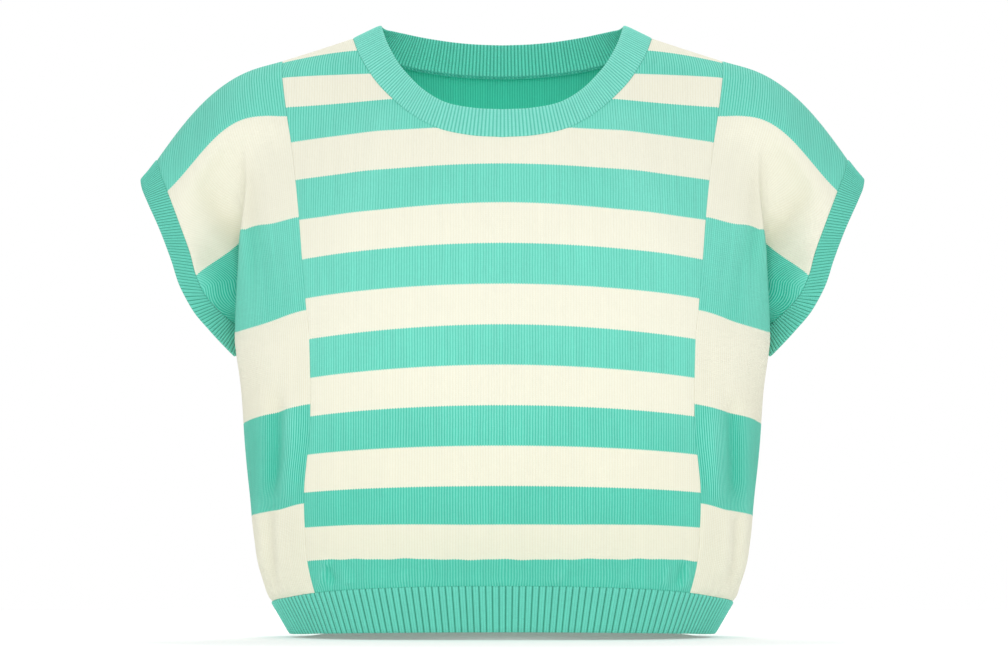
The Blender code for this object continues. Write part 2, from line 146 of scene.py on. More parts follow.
# %% Armhole and neckline
ARMHOLE_COLUMNS = ("arm", "x", "z", "d", "edge_x", "edge_z", "edge_d")
ARMHOLE = (
    (0.0, 199.5, 233.0, 0.0, 205.5, 213.5, 0.0),
    (6.0, 200.9, 233.9, 5.8, 206.4, 214.4, 5.6),
    (18.0, 208.0, 240.0, 19.0, 213.2, 221.4, 17.8),
    (34.5, 217.4, 248.5, 30.5, 223.0, 232.0, 28.5),
    (55.5, 226.9, 260.5, 39.5, 235.8, 247.5, 36.5),
    (69.0, 231.7, 271.5, 42.0, 243.8, 262.0, 39.0),
    (91.0, 236.5, 289.1, 45.0, 251.3, 284.0, 42.0),
    (119.5, 245.0, 312.0, 43.0, 260.2, 307.0, 40.0),
    (150.0, 254.6, 335.8, 34.5, 271.1, 330.0, 31.0),
    (175.0, 262.2, 353.3, 20.5, 277.2, 343.0, 18.0),
    (188.0, 265.6, 363.2, 9.5, 279.0, 349.0, 8.5),
    (196.6, 267.0, 366.0, 0.0, 279.2, 350.0, 0.0),
)

NECK_COLUMNS = ("x", "front_z", "back_z", "front_lean", "back_lean")
NECK = (
    (0.0, 370.4, 442.8, 68.0, 80.5),
    (25.0, 372.3, 443.2, 66.0, 79.5),
    (52.4, 380.3, 444.9, 60.0, 75.5),
    (82.3, 403.8, 448.8, 48.0, 62.0),
    (101.5, 428.0, 453.6, 36.0, 45.5),
    (111.5, 447.6, 457.6, 28.0, 33.0),
    (116.0, 460.8, 460.8, 25.6, 25.6),
)
NECK_PART = 0.68           # share of the centre panel that the neckline takes
NECK_BAND = 24.0           # width of the neckband, mm
print(len(ARMHOLE), "armhole points and", len(NECK), "neck points for each half")

# %% [markdown]
# ## From the table to a surface
#
# Between the courses the cloth runs in smooth curves. A spline without overshoot
# joins the rows of each table, and along a course a Hermite curve joins the four
# stations. numpy works out all the points of a panel at once, which keeps a
# mesh of twenty thousand stitches quick.

# %% Smooth curves through the tables
def spline(xs, ys, x, flat_end=False):
    """Values at x of a smooth curve through (xs, ys), without overshoot."""
    xs, ys, x = (np.asarray(v, float) for v in (xs, ys, x))
    h = np.diff(xs)
    slope = np.diff(ys) / h
    inner = (slope[:-1] * h[1:] + slope[1:] * h[:-1]) / (h[1:] + h[:-1])
    inner = np.where(slope[:-1] * slope[1:] <= 0.0, inner * 0.35, inner)
    m = np.concatenate(((slope[0],), inner, (0.0 if flat_end else slope[-1],)))
    i = np.clip(np.searchsorted(xs, x) - 1, 0, len(xs) - 2)
    t = (x - xs[i]) / h[i]
    return ((1 + 2 * t) * (1 - t) ** 2 * ys[i] + t * (1 - t) ** 2 * h[i] * m[i]
            + t * t * (3 - 2 * t) * ys[i + 1] - t * t * (1 - t) * h[i] * m[i + 1])


def course(name, level):
    column = [row[COURSE_COLUMNS.index(name)] for row in COURSES]
    return spline(range(len(column)), column, level, flat_end=name.startswith("z"))


def armhole(name, arm):
    column = [row[ARMHOLE_COLUMNS.index(name)] for row in ARMHOLE]
    return spline([row[0] for row in ARMHOLE], column, arm)


def neck(name, x):
    column = [row[NECK_COLUMNS.index(name)] for row in NECK]
    return spline([row[0] for row in NECK], column, np.minimum(np.abs(x), NECK[-1][0]))


def side_seam(name, level):
    """The side seam, which ends at the underarm."""
    column = [row[COURSE_COLUMNS.index(name)] for row in COURSES[:UNDERARM + 1]]
    return spline(range(len(column)), column, level)


def arm_length(level):
    """Knit between the underarm and the place where a course meets the cuff."""
    arms = [row[-1] for row in COURSES[UNDERARM:]]
    return spline(range(UNDERARM, RIDGE + 1), arms, np.maximum(level, UNDERARM))


print("at the underarm the body is", round(2 * float(course("xe", 6.99))), "mm wide")

# %% Directions and blends
def unit(vectors):
    return vectors / np.linalg.norm(vectors, axis=-1)[..., None]


def ease(x):
    """Rises softly from 0 at 0 to 1 at 1."""
    x = np.clip(x, 0, 1)
    return x * x * (3 - 2 * x)


def hermite(a, ta, b, tb, t):
    return ((1 + 2 * t) * (1 - t) ** 2 * a + t * (1 - t) ** 2 * ta
            + t * t * (3 - 2 * t) * b - t * t * (1 - t) * tb)


def heading(degrees, rise):
    """Unit directions: seen from above 0 is out and 90 is back; rise is up."""
    angle, level = np.radians(degrees), np.sqrt(1.0 - rise * rise)
    return np.stack((level * np.cos(angle), level * np.sin(angle), rise + 0 * angle), -1)


print("heading 30 degrees, level:", heading(30.0, 0.0).round(2).tolist())

# %% The body's surface
SLEEVE_FALL = -0.85        # the steepest slope of the cloth where it meets a cuff
CUFF_HOLD = (0.8, 4.0, 60.0)   # the cuff's pull, how much more at the underarm, within mm


def stations(level, back):
    """Centre, panel seam, bulge and outer end of the courses, in mm."""
    sign = 1.0 if back else -1.0
    d0, dp, df = ("b0", "bp", "bf") if back else ("d0", "dp", "df")
    z0 = course("z0", level)
    if back:
        lift = np.clip((level - BACK_RISE[0]) / BACK_RISE[1], 0, 1)
        z0 = course("zp", level) * (1 - lift) + z0 * lift
    o = np.stack((0 * level, sign * course(d0, level), z0), -1)
    p = np.stack((course("xp", level), sign * course(dp, level), course("zp", level)), -1)
    f = np.stack((course("xf", level), sign * course(df, level), course("zf", level)), -1)
    arm = arm_length(level)
    cuff = np.stack((armhole("x", arm), sign * armhole("d", arm), armhole("z", arm)), -1)
    low = np.minimum(level, UNDERARM)
    side = np.stack((side_seam("xe", low), 0 * level, side_seam("ze", low)), -1)
    return o, p, f, np.where((level >= UNDERARM)[..., None], cuff, side)


def surface(part, level, back=False):
    """Points of the body: part 0..1 centre panel, 1..2 chest, 2..3 wing."""
    part, level = np.broadcast_arrays(np.asarray(part, float), np.asarray(level, float))
    flip = np.array((1.0, -1.0 if back else 1.0, 1.0))
    o, p, f, e = (q * flip for q in stations(level, back))
    op, pf, fe = (np.linalg.norm(b - a, axis=-1)[..., None]
                  for a, b in ((o, p), (p, f), (f, e)))
    start, span = SHOULDER_FALL
    fall = (p - o)[..., 2] / op[..., 0] * np.clip((level - start) / span, 0, 1)
    at_o = heading(0 * level, fall)
    at_p = unit((p - o) / op * pf + (f - p) / pf * op)
    before, after = ((f - p)[..., 2:] / pf)[..., 0], ((e - f)[..., 2:] / fe)[..., 0]
    rise = (before * fe[..., 0] + after * pf[..., 0]) / (pf + fe)[..., 0]
    crease = np.interp(level, *zip(*CREASE))
    to_f = heading(course("turn_f", level) - crease, rise)
    from_f = heading(course("turn_f", level) + crease, rise)
    arm = arm_length(level)
    cuff = unit(np.stack([armhole("edge_" + c, arm) - armhole(c, arm) for c in "xdz"], -1)
                * np.array((1.0, -1.0, 1.0)))
    # the cloth meets the cuff's band in line with it, most of all near the underarm
    hold, more, reach = CUFF_HOLD
    sleeve = heading(course("turn_e", level), np.maximum(SLEEVE_FALL, 1.5 * after - rise / 2))
    sleeve = unit(sleeve + cuff * (hold + more * np.maximum(0.0, 1.0 - arm / reach))[..., None])
    at_e = np.where((level > UNDERARM)[..., None], sleeve, np.array((0.0, 1.0, 0.0)))
    fold = np.interp(level, *zip(*POCKET))[..., None]
    t = part[..., None]
    q = np.where(t <= 1, hermite(o, at_o * op, p, at_p * op, t),
                 np.where(t <= 2, hermite(p, at_p * pf, f, to_f * pf, t - 1),
                          hermite(f, from_f * fe * (1.0 + fold), e, at_e * fe, t - 2)))
    return q * flip


check = surface([0.0, 1.0, 2.0, 3.0], 5.0)
print("course 5 of the front, mm:", check.round(1).tolist())

# %% [markdown]
# ## Where every stitch lies
#
# Stripes, stitches and folds all belong to the knit and not to the picture, so
# each point of a panel knows two lengths of knit: how far along its course it
# lies, and how high above the hem seam. They are kept as a UV map counted in
# stitches. With a plain unwrapping the stripes would have to be drawn by eye.

# %% Lengths of knit on the body
WALE = 2.0                 # width of one stitch, mm
COURSE = 1.5               # height of one stitch, mm


def knit_height(part, level):
    """Length of knit above the hem seam, mm."""
    centre, seam, end = (spline(range(RIDGE + 1), [row[k] for row in KNIT], level)
                         for k in range(3))
    return np.where(part <= 1, centre + (seam - centre) * part,
                    seam + (end - seam) * (part - 1) / 2)


def stripe_pull(part, level):
    """How much higher in the knit a side panel's point is than its course, mm."""
    levels = [row[0] for row in STRIPE_PULL]
    pulls = np.stack([spline(levels, [row[k] for row in STRIPE_PULL], level)
                      for k in range(1, len(STRIPE_PULL_COLUMNS))], -1)
    places = np.array(STRIPE_PULL_PARTS)
    i = np.clip(np.searchsorted(places, part, side="right") - 1, 0, len(places) - 2)
    start, end = places[i], places[i + 1]
    share = ease(np.clip((part - start) / (end - start), 0, 1))
    low = np.take_along_axis(pulls, i[..., None], -1)[..., 0]
    high = np.take_along_axis(pulls, i[..., None] + 1, -1)[..., 0]
    return low + (high - low) * share


def course_lengths(back):
    """A function that gives the length along a course from the centre line, mm."""
    part_steps, level_steps = 150, 112
    parts = np.linspace(0, 3, part_steps + 1)
    levels = np.linspace(0, RIDGE, level_steps + 1)
    points = surface(parts[:, None], levels[None, :], back)
    steps = np.linalg.norm(np.diff(points, axis=0), axis=-1)
    lengths = np.vstack((np.zeros((1, len(levels))), np.cumsum(steps, axis=0)))

    def along(part, level):
        x = np.clip(part / 3 * part_steps, 0, part_steps - 0.001)
        y = np.clip(level / RIDGE * level_steps, 0, level_steps - 0.001)
        i, j = x.astype(int), y.astype(int)
        u, v = x - i, y - j
        return ((lengths[i, j] * (1 - u) + lengths[i + 1, j] * u) * (1 - v)
                + (lengths[i, j + 1] * (1 - u) + lengths[i + 1, j + 1] * u) * v)
    return along


FRONT_LENGTH, BACK_LENGTH = course_lengths(False), course_lengths(True)
for level in (1.0, 5.0, 9.0, 12.0):
    print("course", level, "front, mm:",
          [round(float(FRONT_LENGTH(np.array(p), np.array(level)))) for p in (1.0, 2.0, 3.0)])

# %% [markdown]
# ## The grid of a panel
#
# A panel is a grid: its rows follow the courses and its columns the wales. The
# upper rows of the centre fan up to the neckline, as a knitter shapes a neck by
# leaving stitches out. Rows and columns crowd together beside every border, so
# that the cloth can turn over softly there and not end in a hard corner.

# %% Rows and columns
NECK_COLUMN_COUNT, SHOULDER_COLUMN_COUNT = 46, 18
CHEST_COLUMN_COUNT, WING_COLUMN_COUNT = 26, 34
LOWER_ROW_COUNT, UPPER_ROW_COUNT = 104, 58
NEAR_BORDER = (0.004, 0.012)     # rows beside a border, as shares of the panel
NEAR_HEM = (0.02, 0.06)          # rows above the hem seam, in courses of the table
UPPER_CROWDING = 1.15            # above 1, the upper rows crowd towards the shoulder


def neckline_level(part, back):
    """The course on which a column of the centre panel meets the neckline."""
    low, high = np.full_like(part, float(BLEND)), np.full_like(part, float(RIDGE))
    for _ in range(40):
        middle = (low + high) / 2
        q = surface(part, middle, back)
        above = q[..., 2] > neck("back_z" if back else "front_z", q[..., 0])
        low, high = np.where(above, low, middle), np.where(above, middle, high)
    return (low + high) / 2


def panel_levels(parts, back):
    """Rows by columns of course levels, from the hem seam up to the border."""
    top = np.full(len(parts), float(RIDGE))
    beside = parts < NECK_PART - 1e-9
    top[beside] = neckline_level(parts[beside], back)
    lower = HEM_SEAM + (BLEND - HEM_SEAM) * np.linspace(0, 1, LOWER_ROW_COUNT + 1)
    lower = np.concatenate(([lower[0]], lower[0] + np.array(NEAR_HEM), lower[1:]))
    share = np.linspace(0, 1, UPPER_ROW_COUNT + 1)[1:]
    share = 1 - (1 - share) ** UPPER_CROWDING
    share = np.concatenate((share[:-1], 1 - np.array(NEAR_BORDER[::-1]), share[-1:]))
    share.sort()
    upper = BLEND + (top[None, :] - BLEND) * share[:, None]
    return np.vstack((np.repeat(lower[:, None], len(parts), axis=1), upper))


def columns_between(start, end, count, round_start=False, round_end=False):
    line = list(np.linspace(start, end, count + 1))
    near = [start + (end - start) * s for s in NEAR_BORDER] if round_start else []
    near += [end - (end - start) * s for s in NEAR_BORDER] if round_end else []
    return np.array(sorted(set(line + near)))


neck_side = NECK_PART * np.sin(np.pi / 2 * np.linspace(0, 1, NECK_COLUMN_COUNT + 1))
shoulder_side = columns_between(NECK_PART, 1.0, SHOULDER_COLUMN_COUNT, round_end=True)[1:]
CENTRE_PARTS = np.concatenate((neck_side, shoulder_side))
CHEST_PARTS = columns_between(1.0, 2.0, CHEST_COLUMN_COUNT, round_start=True)[1:]
WING_PARTS = columns_between(2.0, 3.0, WING_COLUMN_COUNT, round_end=True)[1:]
HALF_PARTS = np.concatenate((CENTRE_PARTS, CHEST_PARTS, WING_PARTS))
SEAM_COLUMN = len(CENTRE_PARTS) - 1
NECK_COLUMN = len(neck_side) - 1
print(len(HALF_PARTS), "columns from the centre line to the side")

# %% [markdown]
# ### Half a front and half a back
#
# Only one half is worked out, and the other is its mirror image. Besides its
# points a grid needs the outward direction at each of them, to give the cloth its
# thickness. Where the front meets the back those directions are averaged, because
# a band is linked on there and has to leave both panels at one angle.

# %% Half a front and half a back
def half_body(back):
    """Points in metres, course levels, and the two knit lengths in mm."""
    levels = panel_levels(HALF_PARTS, back)
    parts = np.repeat(HALF_PARTS[None, :], len(levels), axis=0)
    points = (surface(parts, levels, back) + np.array((0, 0, HEM_Z))) * MM
    along = (BACK_LENGTH if back else FRONT_LENGTH)(parts, levels)
    return points, levels, along, knit_height(parts, levels), stripe_pull(parts, levels)


def grid_normals(points, flip):
    """The outward direction at each point of a grid."""
    wide, tall = np.diff(points, axis=1), np.diff(points, axis=0)
    faces = unit(np.cross(wide[:-1] + wide[1:], tall[:, :-1] + tall[:, 1:]))
    total = np.zeros_like(points)
    for r in (0, 1):
        for c in (0, 1):
            total[r:r + faces.shape[0], c:c + faces.shape[1]] += faces
    return unit(total) * (-1.0 if flip else 1.0)


front, front_levels, front_along, front_knit, front_pull = half_body(False)
rear, _, rear_along, rear_knit, rear_pull = half_body(True)
rear_knit = rear_knit + rear_pull * ease(HALF_PARTS - 1.0)
front_out, rear_out = grid_normals(front, False), grid_normals(rear, True)
front_out[:, 0, 0] = rear_out[:, 0, 0] = 0.0
front_out, rear_out = unit(front_out), unit(rear_out)
UNDERARM_ROW = int(np.argmin(np.abs(front_levels[:, -1] - UNDERARM)))
for joint in (np.s_[-1, NECK_COLUMN:], np.s_[:UNDERARM_ROW + 1, -1]):
    front_out[joint] = rear_out[joint] = unit(front_out[joint] + rear_out[joint])
print("half grid:", front.shape[0], "rows by", front.shape[1], "columns, underarm at row",
      UNDERARM_ROW)

# %% [markdown]
# ## Folds
#
# Worn cloth is never smooth. A simulation would fold it at random, so the main
# creases are laid one by one where the garment shows them: a soft trough beside
# the fall of each sleeve, ripples in the cap, and gathers where the body is drawn
# into the hem. Each row of a table is one ridge or trough in lengths of knit, with
# its half width, its height and how far it bows, in millimetres. No two are
# alike, because cloth is uneven. The back, which nobody sees in the picture, gets
# folds of the same kind.

# %% Folds of the front's centre
# columns: from wale, from knit, to wale, to knit, width, height, bow
FRONT_FOLDS = (
    (-128, 250, -88, 395, 16, 0.9, 6),
    (132, 236, 84, 402, 18, 1.1, -7),
    (-118, 30, -104, 128, 13, -0.8, 3),
    (112, 22, 122, 140, 14, -0.9, -4),
    (-36, 14, -22, 96, 20, 0.6, 2),
    (58, 8, 48, 88, 17, 0.7, -3),
    (-70, 150, 60, 134, 26, 0.5, 5),
    (-141, 2, -132, 27, 3.0, 2.2, 1),
    (-126, 3, -133, 22, 2.6, -2.4, 0),
    (-112, 1, -118, 19, 3.2, 1.3, -1),
    (-74, 1, -70, 15, 2.8, 1.0, 0),
    (38, 1, 43, 17, 3.0, 1.1, 1),
    (119, 2, 124, 21, 2.8, 1.5, 0),
    (131, 2, 137, 24, 2.6, -2.3, 1),
    (143, 3, 139, 26, 3.0, 1.7, 0),
)
print(len(FRONT_FOLDS), "folds in the centre of the front")

# %% Folds of the side panels and the back
LEFT_FOLDS = (
    (58, 240, 40, 372, 10, -1.7, 3),
    (98, 262, 86, 372, 8, -2.2, -3),
    (112, 270, 108, 350, 7, 1.0, 2),
    (74, 262, 66, 360, 9, 1.0, 2),
    (42, 70, 36, 176, 10, -3.8, 3),
    (20, 60, 16, 166, 9, 1.9, -2),
    (50, 2, 46, 82, 9, -3.0, 2),
    (34, 6, 30, 78, 9, 1.2, 1),
    (64, 6, 58, 104, 15, 1.5, -5),
    (20, 96, 50, 214, 14, 0.9, -4),
    (90, 50, 66, 206, 17, -1.5, 7),
    (30, 200, 52, 300, 9, -0.9, -3),
)
RIGHT_FOLDS = (
    (55, 232, 42, 366, 11, -1.9, 3),
    (94, 258, 82, 366, 8, -2.0, -2),
    (106, 262, 104, 344, 7, 1.2, 2),
    (70, 266, 61, 354, 8, 0.9, 2),
    (40, 74, 37, 182, 10, -3.9, -3),
    (18, 64, 17, 172, 9, 1.8, 2),
    (51, 2, 45, 84, 10, -2.9, -2),
    (33, 4, 30, 80, 9, 1.1, 1),
    (60, 8, 50, 96, 16, 1.4, 4),
    (24, 110, 46, 222, 15, 1.0, -5),
    (88, 60, 70, 212, 19, -1.3, -6),
    (26, 210, 50, 308, 10, -0.8, -3),
)
BACK_FOLDS = (
    (-196, 226, -92, 120, 17, 2.2, 10),
    (-188, 206, -104, 92, 12, -1.6, 8),
    (190, 218, 98, 112, 16, 2.0, -9),
    (204, 236, 108, 154, 11, -1.5, -8),
    (-80, 330, 76, 322, 24, 1.4, 8),
    (-60, 96, -44, 8, 15, 1.4, 3),
    (-118, 84, -96, 6, 13, -1.3, -3),
    (42, 110, 56, 10, 16, 1.5, -4),
    (120, 92, 104, 8, 12, -1.2, 2),
    (-214, 330, -186, 240, 11, -1.6, 4),
    (222, 322, 188, 236, 12, -1.7, -4),
)
print(sum(map(len, (LEFT_FOLDS, RIGHT_FOLDS, BACK_FOLDS))), "folds in the other panels")

# %% [markdown]
# ### From the tables to heights
#
# A fold is a soft bell across its line that fades in and out at both ends. The
# gathers above the hem are too many to lay by hand, so a seeded random draw
# places them, the same on every run. Gathering also pushes the stitches about,
# so a stripe's border runs in small waves there. In the hanging sleeve
# the rows of stitches lean away from the body by the weight of the cuff.

# %% Heights of the folds
FOLD_ENDS = 0.3            # share of a fold's length over which it fades at each end
HEM_WAVES = ((61, 0.4), (34, 0.4), (19, 0.3))      # length and height, mm
SLEEVE_TOP = 350.0         # knit above which the sleeve doesn't hang, mm
SLEEVE_LOW = (222.0, 16.0)     # knit at which the lean starts, and its fade, mm
SLEEVE_LEAN = (0.8, 40.0)      # lean for each mm of drop, and the drop it builds up over
SLEEVE_INNER = 0.35            # share of the wing over which the lean grows outwards
GATHER_HEIGHT, GATHER_REACH = (0.5, 1.7), (9, 28)      # least and most, mm
GATHER_LEAN = (-0.25, 0.25)    # least and most, mm for each mm of knit
GATHER_WIDTH, GATHER_STEP = (0.22, 0.36), (0.7, 1.4)   # least and most, in spacings


def laid_folds(wale, knit, table):
    """Height of the folds in mm, at lengths of knit in mm."""
    total = np.zeros_like(wale)
    for s0, c0, s1, c1, width, height, bow in table:
        ds, dc = s1 - s0, c1 - c0
        t = ((wale - s0) * ds + (knit - c0) * dc) / (ds * ds + dc * dc)
        across = ((wale - s0) * dc - (knit - c0) * ds) / math.hypot(ds, dc)
        across = across - bow * 4 * t * (1 - t)
        fade = ease(t / FOLD_ENDS) * ease((1 - t) / FOLD_ENDS)
        total += height * np.exp(-(across / width) ** 2) * fade
    return total


def hem_gathers(wale, knit, spacing, seed):
    """Small uneven gathers above the hem seam, mm."""
    chance = np.random.default_rng(seed)
    total, place = np.zeros_like(wale), wale.min() - spacing
    while place < wale.max() + spacing:
        height, reach = chance.uniform(*GATHER_HEIGHT), chance.uniform(*GATHER_REACH)
        lean = chance.uniform(*GATHER_LEAN)
        width = spacing * chance.uniform(*GATHER_WIDTH)
        across = (wale - place - lean * knit) / width
        total += height * np.exp(-across ** 2) * ease(1 - knit / reach) * ease((knit + 4) / 7)
        place += spacing * chance.uniform(*GATHER_STEP)
    return total


def hem_ripple(wale, knit, reach, seed):
    """How far the gathers push the stitches aside above the hem, mm."""
    chance = np.random.default_rng(seed)
    wave = sum(size * np.sin(2 * np.pi * (wale / length + chance.random()))
               for length, size in HEM_WAVES)
    return wave * ease(1 - knit / reach) * ease(knit / 8.0)


def hanging_sleeve(knit):
    """How far the wales of the sleeve lean away from the body as it hangs, mm."""
    drop = np.maximum(SLEEVE_TOP - knit, 0.0)
    (start, fade), (share, builds) = SLEEVE_LOW, SLEEVE_LEAN
    lean = share * drop ** 2 / (drop + builds) * ease((knit - start) / fade)
    return lean * ease((HALF_PARTS - 2.0) / SLEEVE_INNER)


check = laid_folds(front_along, front_knit, FRONT_FOLDS)
print("front folds, mm:", round(float(check.min()), 1), "to", round(float(check.max()), 1))

# %% [markdown]
# ## Cloth with a thickness
#
# Jersey of this gauge is about two millimetres thick, and its borders turn over
# where they are linked. Each panel is therefore two skins with a narrow wall
# between them. Near a border the outer skin dips and the inner one rises, which
# leaves a soft groove at every seam. The Solidify modifier would leave square
# edges that stand up wherever two panels meet at an angle.
#
# Every piece is added by one function. It rides on the part's root body, keeps the
# stitch counts as its UV map, and can carry one more number at each point: how
# far a fold lifts it there.

# %% Adding a mesh
SHARPEST_TURN = 75         # degrees between two faces that still look smooth


def add_mesh(name, points, faces, uv, looks, inside=None, crease=None):
    """A piece from points, faces and the faces' corners in stitches. looks are the
    finishes of its outside and inside, and inside says which faces have the second.
    crease is how far a fold lifts each point, which the jersey reads to paint
    shade in troughs and light on ridges."""
    mesh = bpy.data.meshes.new(name)
    mesh.from_pydata(points.tolist(), [], faces)
    layer = mesh.uv_layers.new(name="stitches")
    layer.data.foreach_set("uv", np.asarray(uv, np.float32).ravel())
    mesh.shade_smooth()
    mesh.set_sharp_from_angle(angle=math.radians(SHARPEST_TURN))
    for look in looks:
        mesh.materials.append(look)
    if inside is not None:
        mesh.polygons.foreach_set("material_index", np.asarray(inside, np.int32))
    if crease is not None:
        mesh.attributes.new("crease", "FLOAT", "POINT").data.foreach_set(
            "value", np.asarray(crease, np.float32))
    mesh.validate()
    piece = bpy.data.objects.new(name, mesh)
    bpy.context.scene.collection.objects.link(piece)
    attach(piece, "root")
    print(f"{name}: {len(mesh.polygons)} faces")
    return piece


# %% Grids and their borders
def grid_faces(rows, columns, wrap_rows=False, wrap_columns=False):
    """Corner places (row, column) of each face, not yet wrapped round."""
    r = np.arange(rows if wrap_rows else rows - 1)
    c = np.arange(columns if wrap_columns else columns - 1)
    R, C = (a.ravel() for a in np.meshgrid(r, c, indexing="ij"))
    return np.stack((np.stack((R, R, R + 1, R + 1), -1),
                     np.stack((C, C + 1, C + 1, C), -1)), -1)


def border_distance(points):
    """Distance of each grid point from the nearest border of its panel, mm."""
    steps_r = np.linalg.norm(np.diff(points, axis=0), axis=-1) / MM
    steps_c = np.linalg.norm(np.diff(points, axis=1), axis=-1) / MM
    zero_r, zero_c = np.zeros((1, points.shape[1])), np.zeros((points.shape[0], 1))
    up = np.vstack((zero_r, np.cumsum(steps_r, axis=0)))
    right = np.hstack((zero_c, np.cumsum(steps_c, axis=1)))
    down, left = up[-1:] - up, right[:, -1:] - right
    return np.minimum(np.minimum(up, down), np.minimum(left, right))


check = border_distance(front)
print("farthest point from a border of the half front, mm:", round(float(check.max())))

# %% [markdown]
# ### A panel with two skins
#
# Linked pieces leave a hair's gap, so every border first draws back by half of
# it. Folds die away beside a seam, where the other piece holds the cloth. Then
# the two skins and the wall between them are joined into one closed mesh, with
# the second finish on its inside, which for the jersey is painted darker as shade.

# %% A panel with two skins
THICK = 1.9                # cloth of a panel, mm
SEAM_GAP = 0.14            # between two linked pieces, mm
TURN = 1.2                 # how far from its border the cloth turns over, mm
BORDER_DIP = 0.28          # how deep the skin dips at its border at most, mm
FOLD_FREE = 6.0            # how far from a border a fold is free to rise, mm


def cloth_panel(name, points, facing, wale, knit, laid, flip, looks, replaced):
    """A two-skinned panel; laid is the height of its folds in mm."""
    points = points.copy()
    for line, inside in ((np.s_[0], np.s_[1]), (np.s_[-1], np.s_[-2]),
                         (np.s_[:, 0], np.s_[:, 1]), (np.s_[:, -1], np.s_[:, -2])):
        points[line] += unit(points[inside] - points[line]) * SEAM_GAP / 2 * MM
    distance = border_distance(points)
    rest = laid * ease(distance / FOLD_FREE)
    points = points + facing * (rest * MM)[..., None]
    near = np.clip(1 - distance / TURN, 0, 1)
    turned = np.minimum(TURN * (1 - np.sqrt(1 - near * near)), BORDER_DIP)
    outer = points - facing * (turned * MM)[..., None]
    inner = points - facing * ((THICK - turned) * MM)[..., None]

    rows, columns = points.shape[:2]
    uv = np.stack((wale / WALE, knit / COURSE), -1)
    place = grid_faces(rows, columns)
    index = place[..., 0] * columns + place[..., 1]
    corner = uv[place[..., 0], place[..., 1]]
    border = ([(0, c) for c in range(columns - 1)] + [(r, columns - 1) for r in range(rows - 1)]
              + [(rows - 1, c) for c in range(columns - 1, 0, -1)]
              + [(r, 0) for r in range(rows - 1, 0, -1)])
    ring = np.array([r * columns + c for r, c in border])
    ring_uv = np.array([uv[r, c] for r, c in border])
    back_ring, back_uv = np.roll(ring, -1), np.roll(ring_uv, -1, axis=0)
    count = rows * columns
    wall = np.stack((back_ring, ring, ring + count, back_ring + count), -1)
    wall_uv = np.stack((back_uv, ring_uv, ring_uv, back_uv), 1)
    faces = np.vstack((index, index[:, ::-1] + count, wall))
    corners = np.concatenate((corner, corner[:, ::-1], wall_uv))
    if flip:
        faces, corners = faces[:, ::-1], corners[:, ::-1]
    every = np.concatenate((outer.reshape(-1, 3), inner.reshape(-1, 3)))
    inside = np.repeat((0, 1, 0), (len(index), len(index), len(wall)))
    piece = add_mesh(name, every, faces.tolist(), corners, looks, inside,
                     np.tile(rest.ravel(), 2))
    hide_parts(replaced)
    return piece


def whole(half, sign=1.0):
    """A half grid and its mirror image, as one grid from side to side."""
    other = half[:, :0:-1]
    if half.ndim == 3:
        return np.concatenate((other * np.array((-1.0, 1.0, 1.0)), half), axis=1)
    return np.concatenate((other * sign, half), axis=1)


def cloth_area(piece):
    """Flat area of a shell: half of its surface, in square metres."""
    return sum(face.area for face in piece.data.polygons) / 2


print("cloth", THICK, "mm thick, seams", SEAM_GAP, "mm apart")

# %% [markdown]
# ## Yarn and stitches as materials
#
# Under the light a jersey shows upright rows of small V-shaped stitches with dark
# valleys between them. A picture of knitting would blur or repeat, so the
# stitches are worked out in the shader from the UV map, which counts wales
# across and courses up. What several materials share is a node group, built once.

# %% Helpers for shader nodes
def feed(tree, value, socket):
    """Links another node's output to a socket, or sets the socket to a number."""
    if isinstance(value, bpy.types.NodeSocket):
        tree.links.new(value, socket)
    else:
        socket.default_value = value


def reckon(tree, operation, *values):
    """A Math node; each value is a number or another node's output."""
    node = tree.nodes.new("ShaderNodeMath")
    node.operation = operation
    for socket, value in zip(node.inputs, values):
        feed(tree, value, socket)
    return node.outputs[0]


def plus(tree, first, second):
    return reckon(tree, "ADD", first, second)


def minus(tree, first, second):
    return reckon(tree, "SUBTRACT", first, second)


def times(tree, first, second):
    return reckon(tree, "MULTIPLY", first, second)


def soft_step(tree, value, low, high):
    """0 below low, 1 above high, smooth between."""
    node = tree.nodes.new("ShaderNodeMapRange")
    node.interpolation_type = "SMOOTHSTEP"
    for name, given in (("Value", value), ("From Min", low), ("From Max", high)):
        feed(tree, given, node.inputs[name])
    return node.outputs["Result"]


def blend_colours(tree, share, first, second, kind="MIX"):
    """The first colour at share 0, the second at 1, and beyond it above 1."""
    node = tree.nodes.new("ShaderNodeMix")
    node.data_type = "RGBA"
    node.blend_type = kind
    node.clamp_factor = False
    factor, colour_a, colour_b = node.inputs[0], node.inputs[6], node.inputs[7]
    for socket, value in ((factor, share), (colour_a, first), (colour_b, second)):
        feed(tree, value, socket)
    return node.outputs[2]


def noise(tree, x, y, detail=2.0):
    """Soft noise from 0 to 1 over two coordinates."""
    place = tree.nodes.new("ShaderNodeCombineXYZ")
    for socket, value in zip(place.inputs, (x, y)):
        feed(tree, value, socket)
    node = tree.nodes.new("ShaderNodeTexNoise")
    node.noise_dimensions = "2D"
    node.inputs["Scale"].default_value = 1.0
    node.inputs["Detail"].default_value = detail
    feed(tree, place.outputs[0], node.inputs["Vector"])
    return node.outputs["Fac"]


print("node helpers ready")

# %% Helpers for node groups
FLOAT, COLOUR = "NodeSocketFloat", "NodeSocketColor"


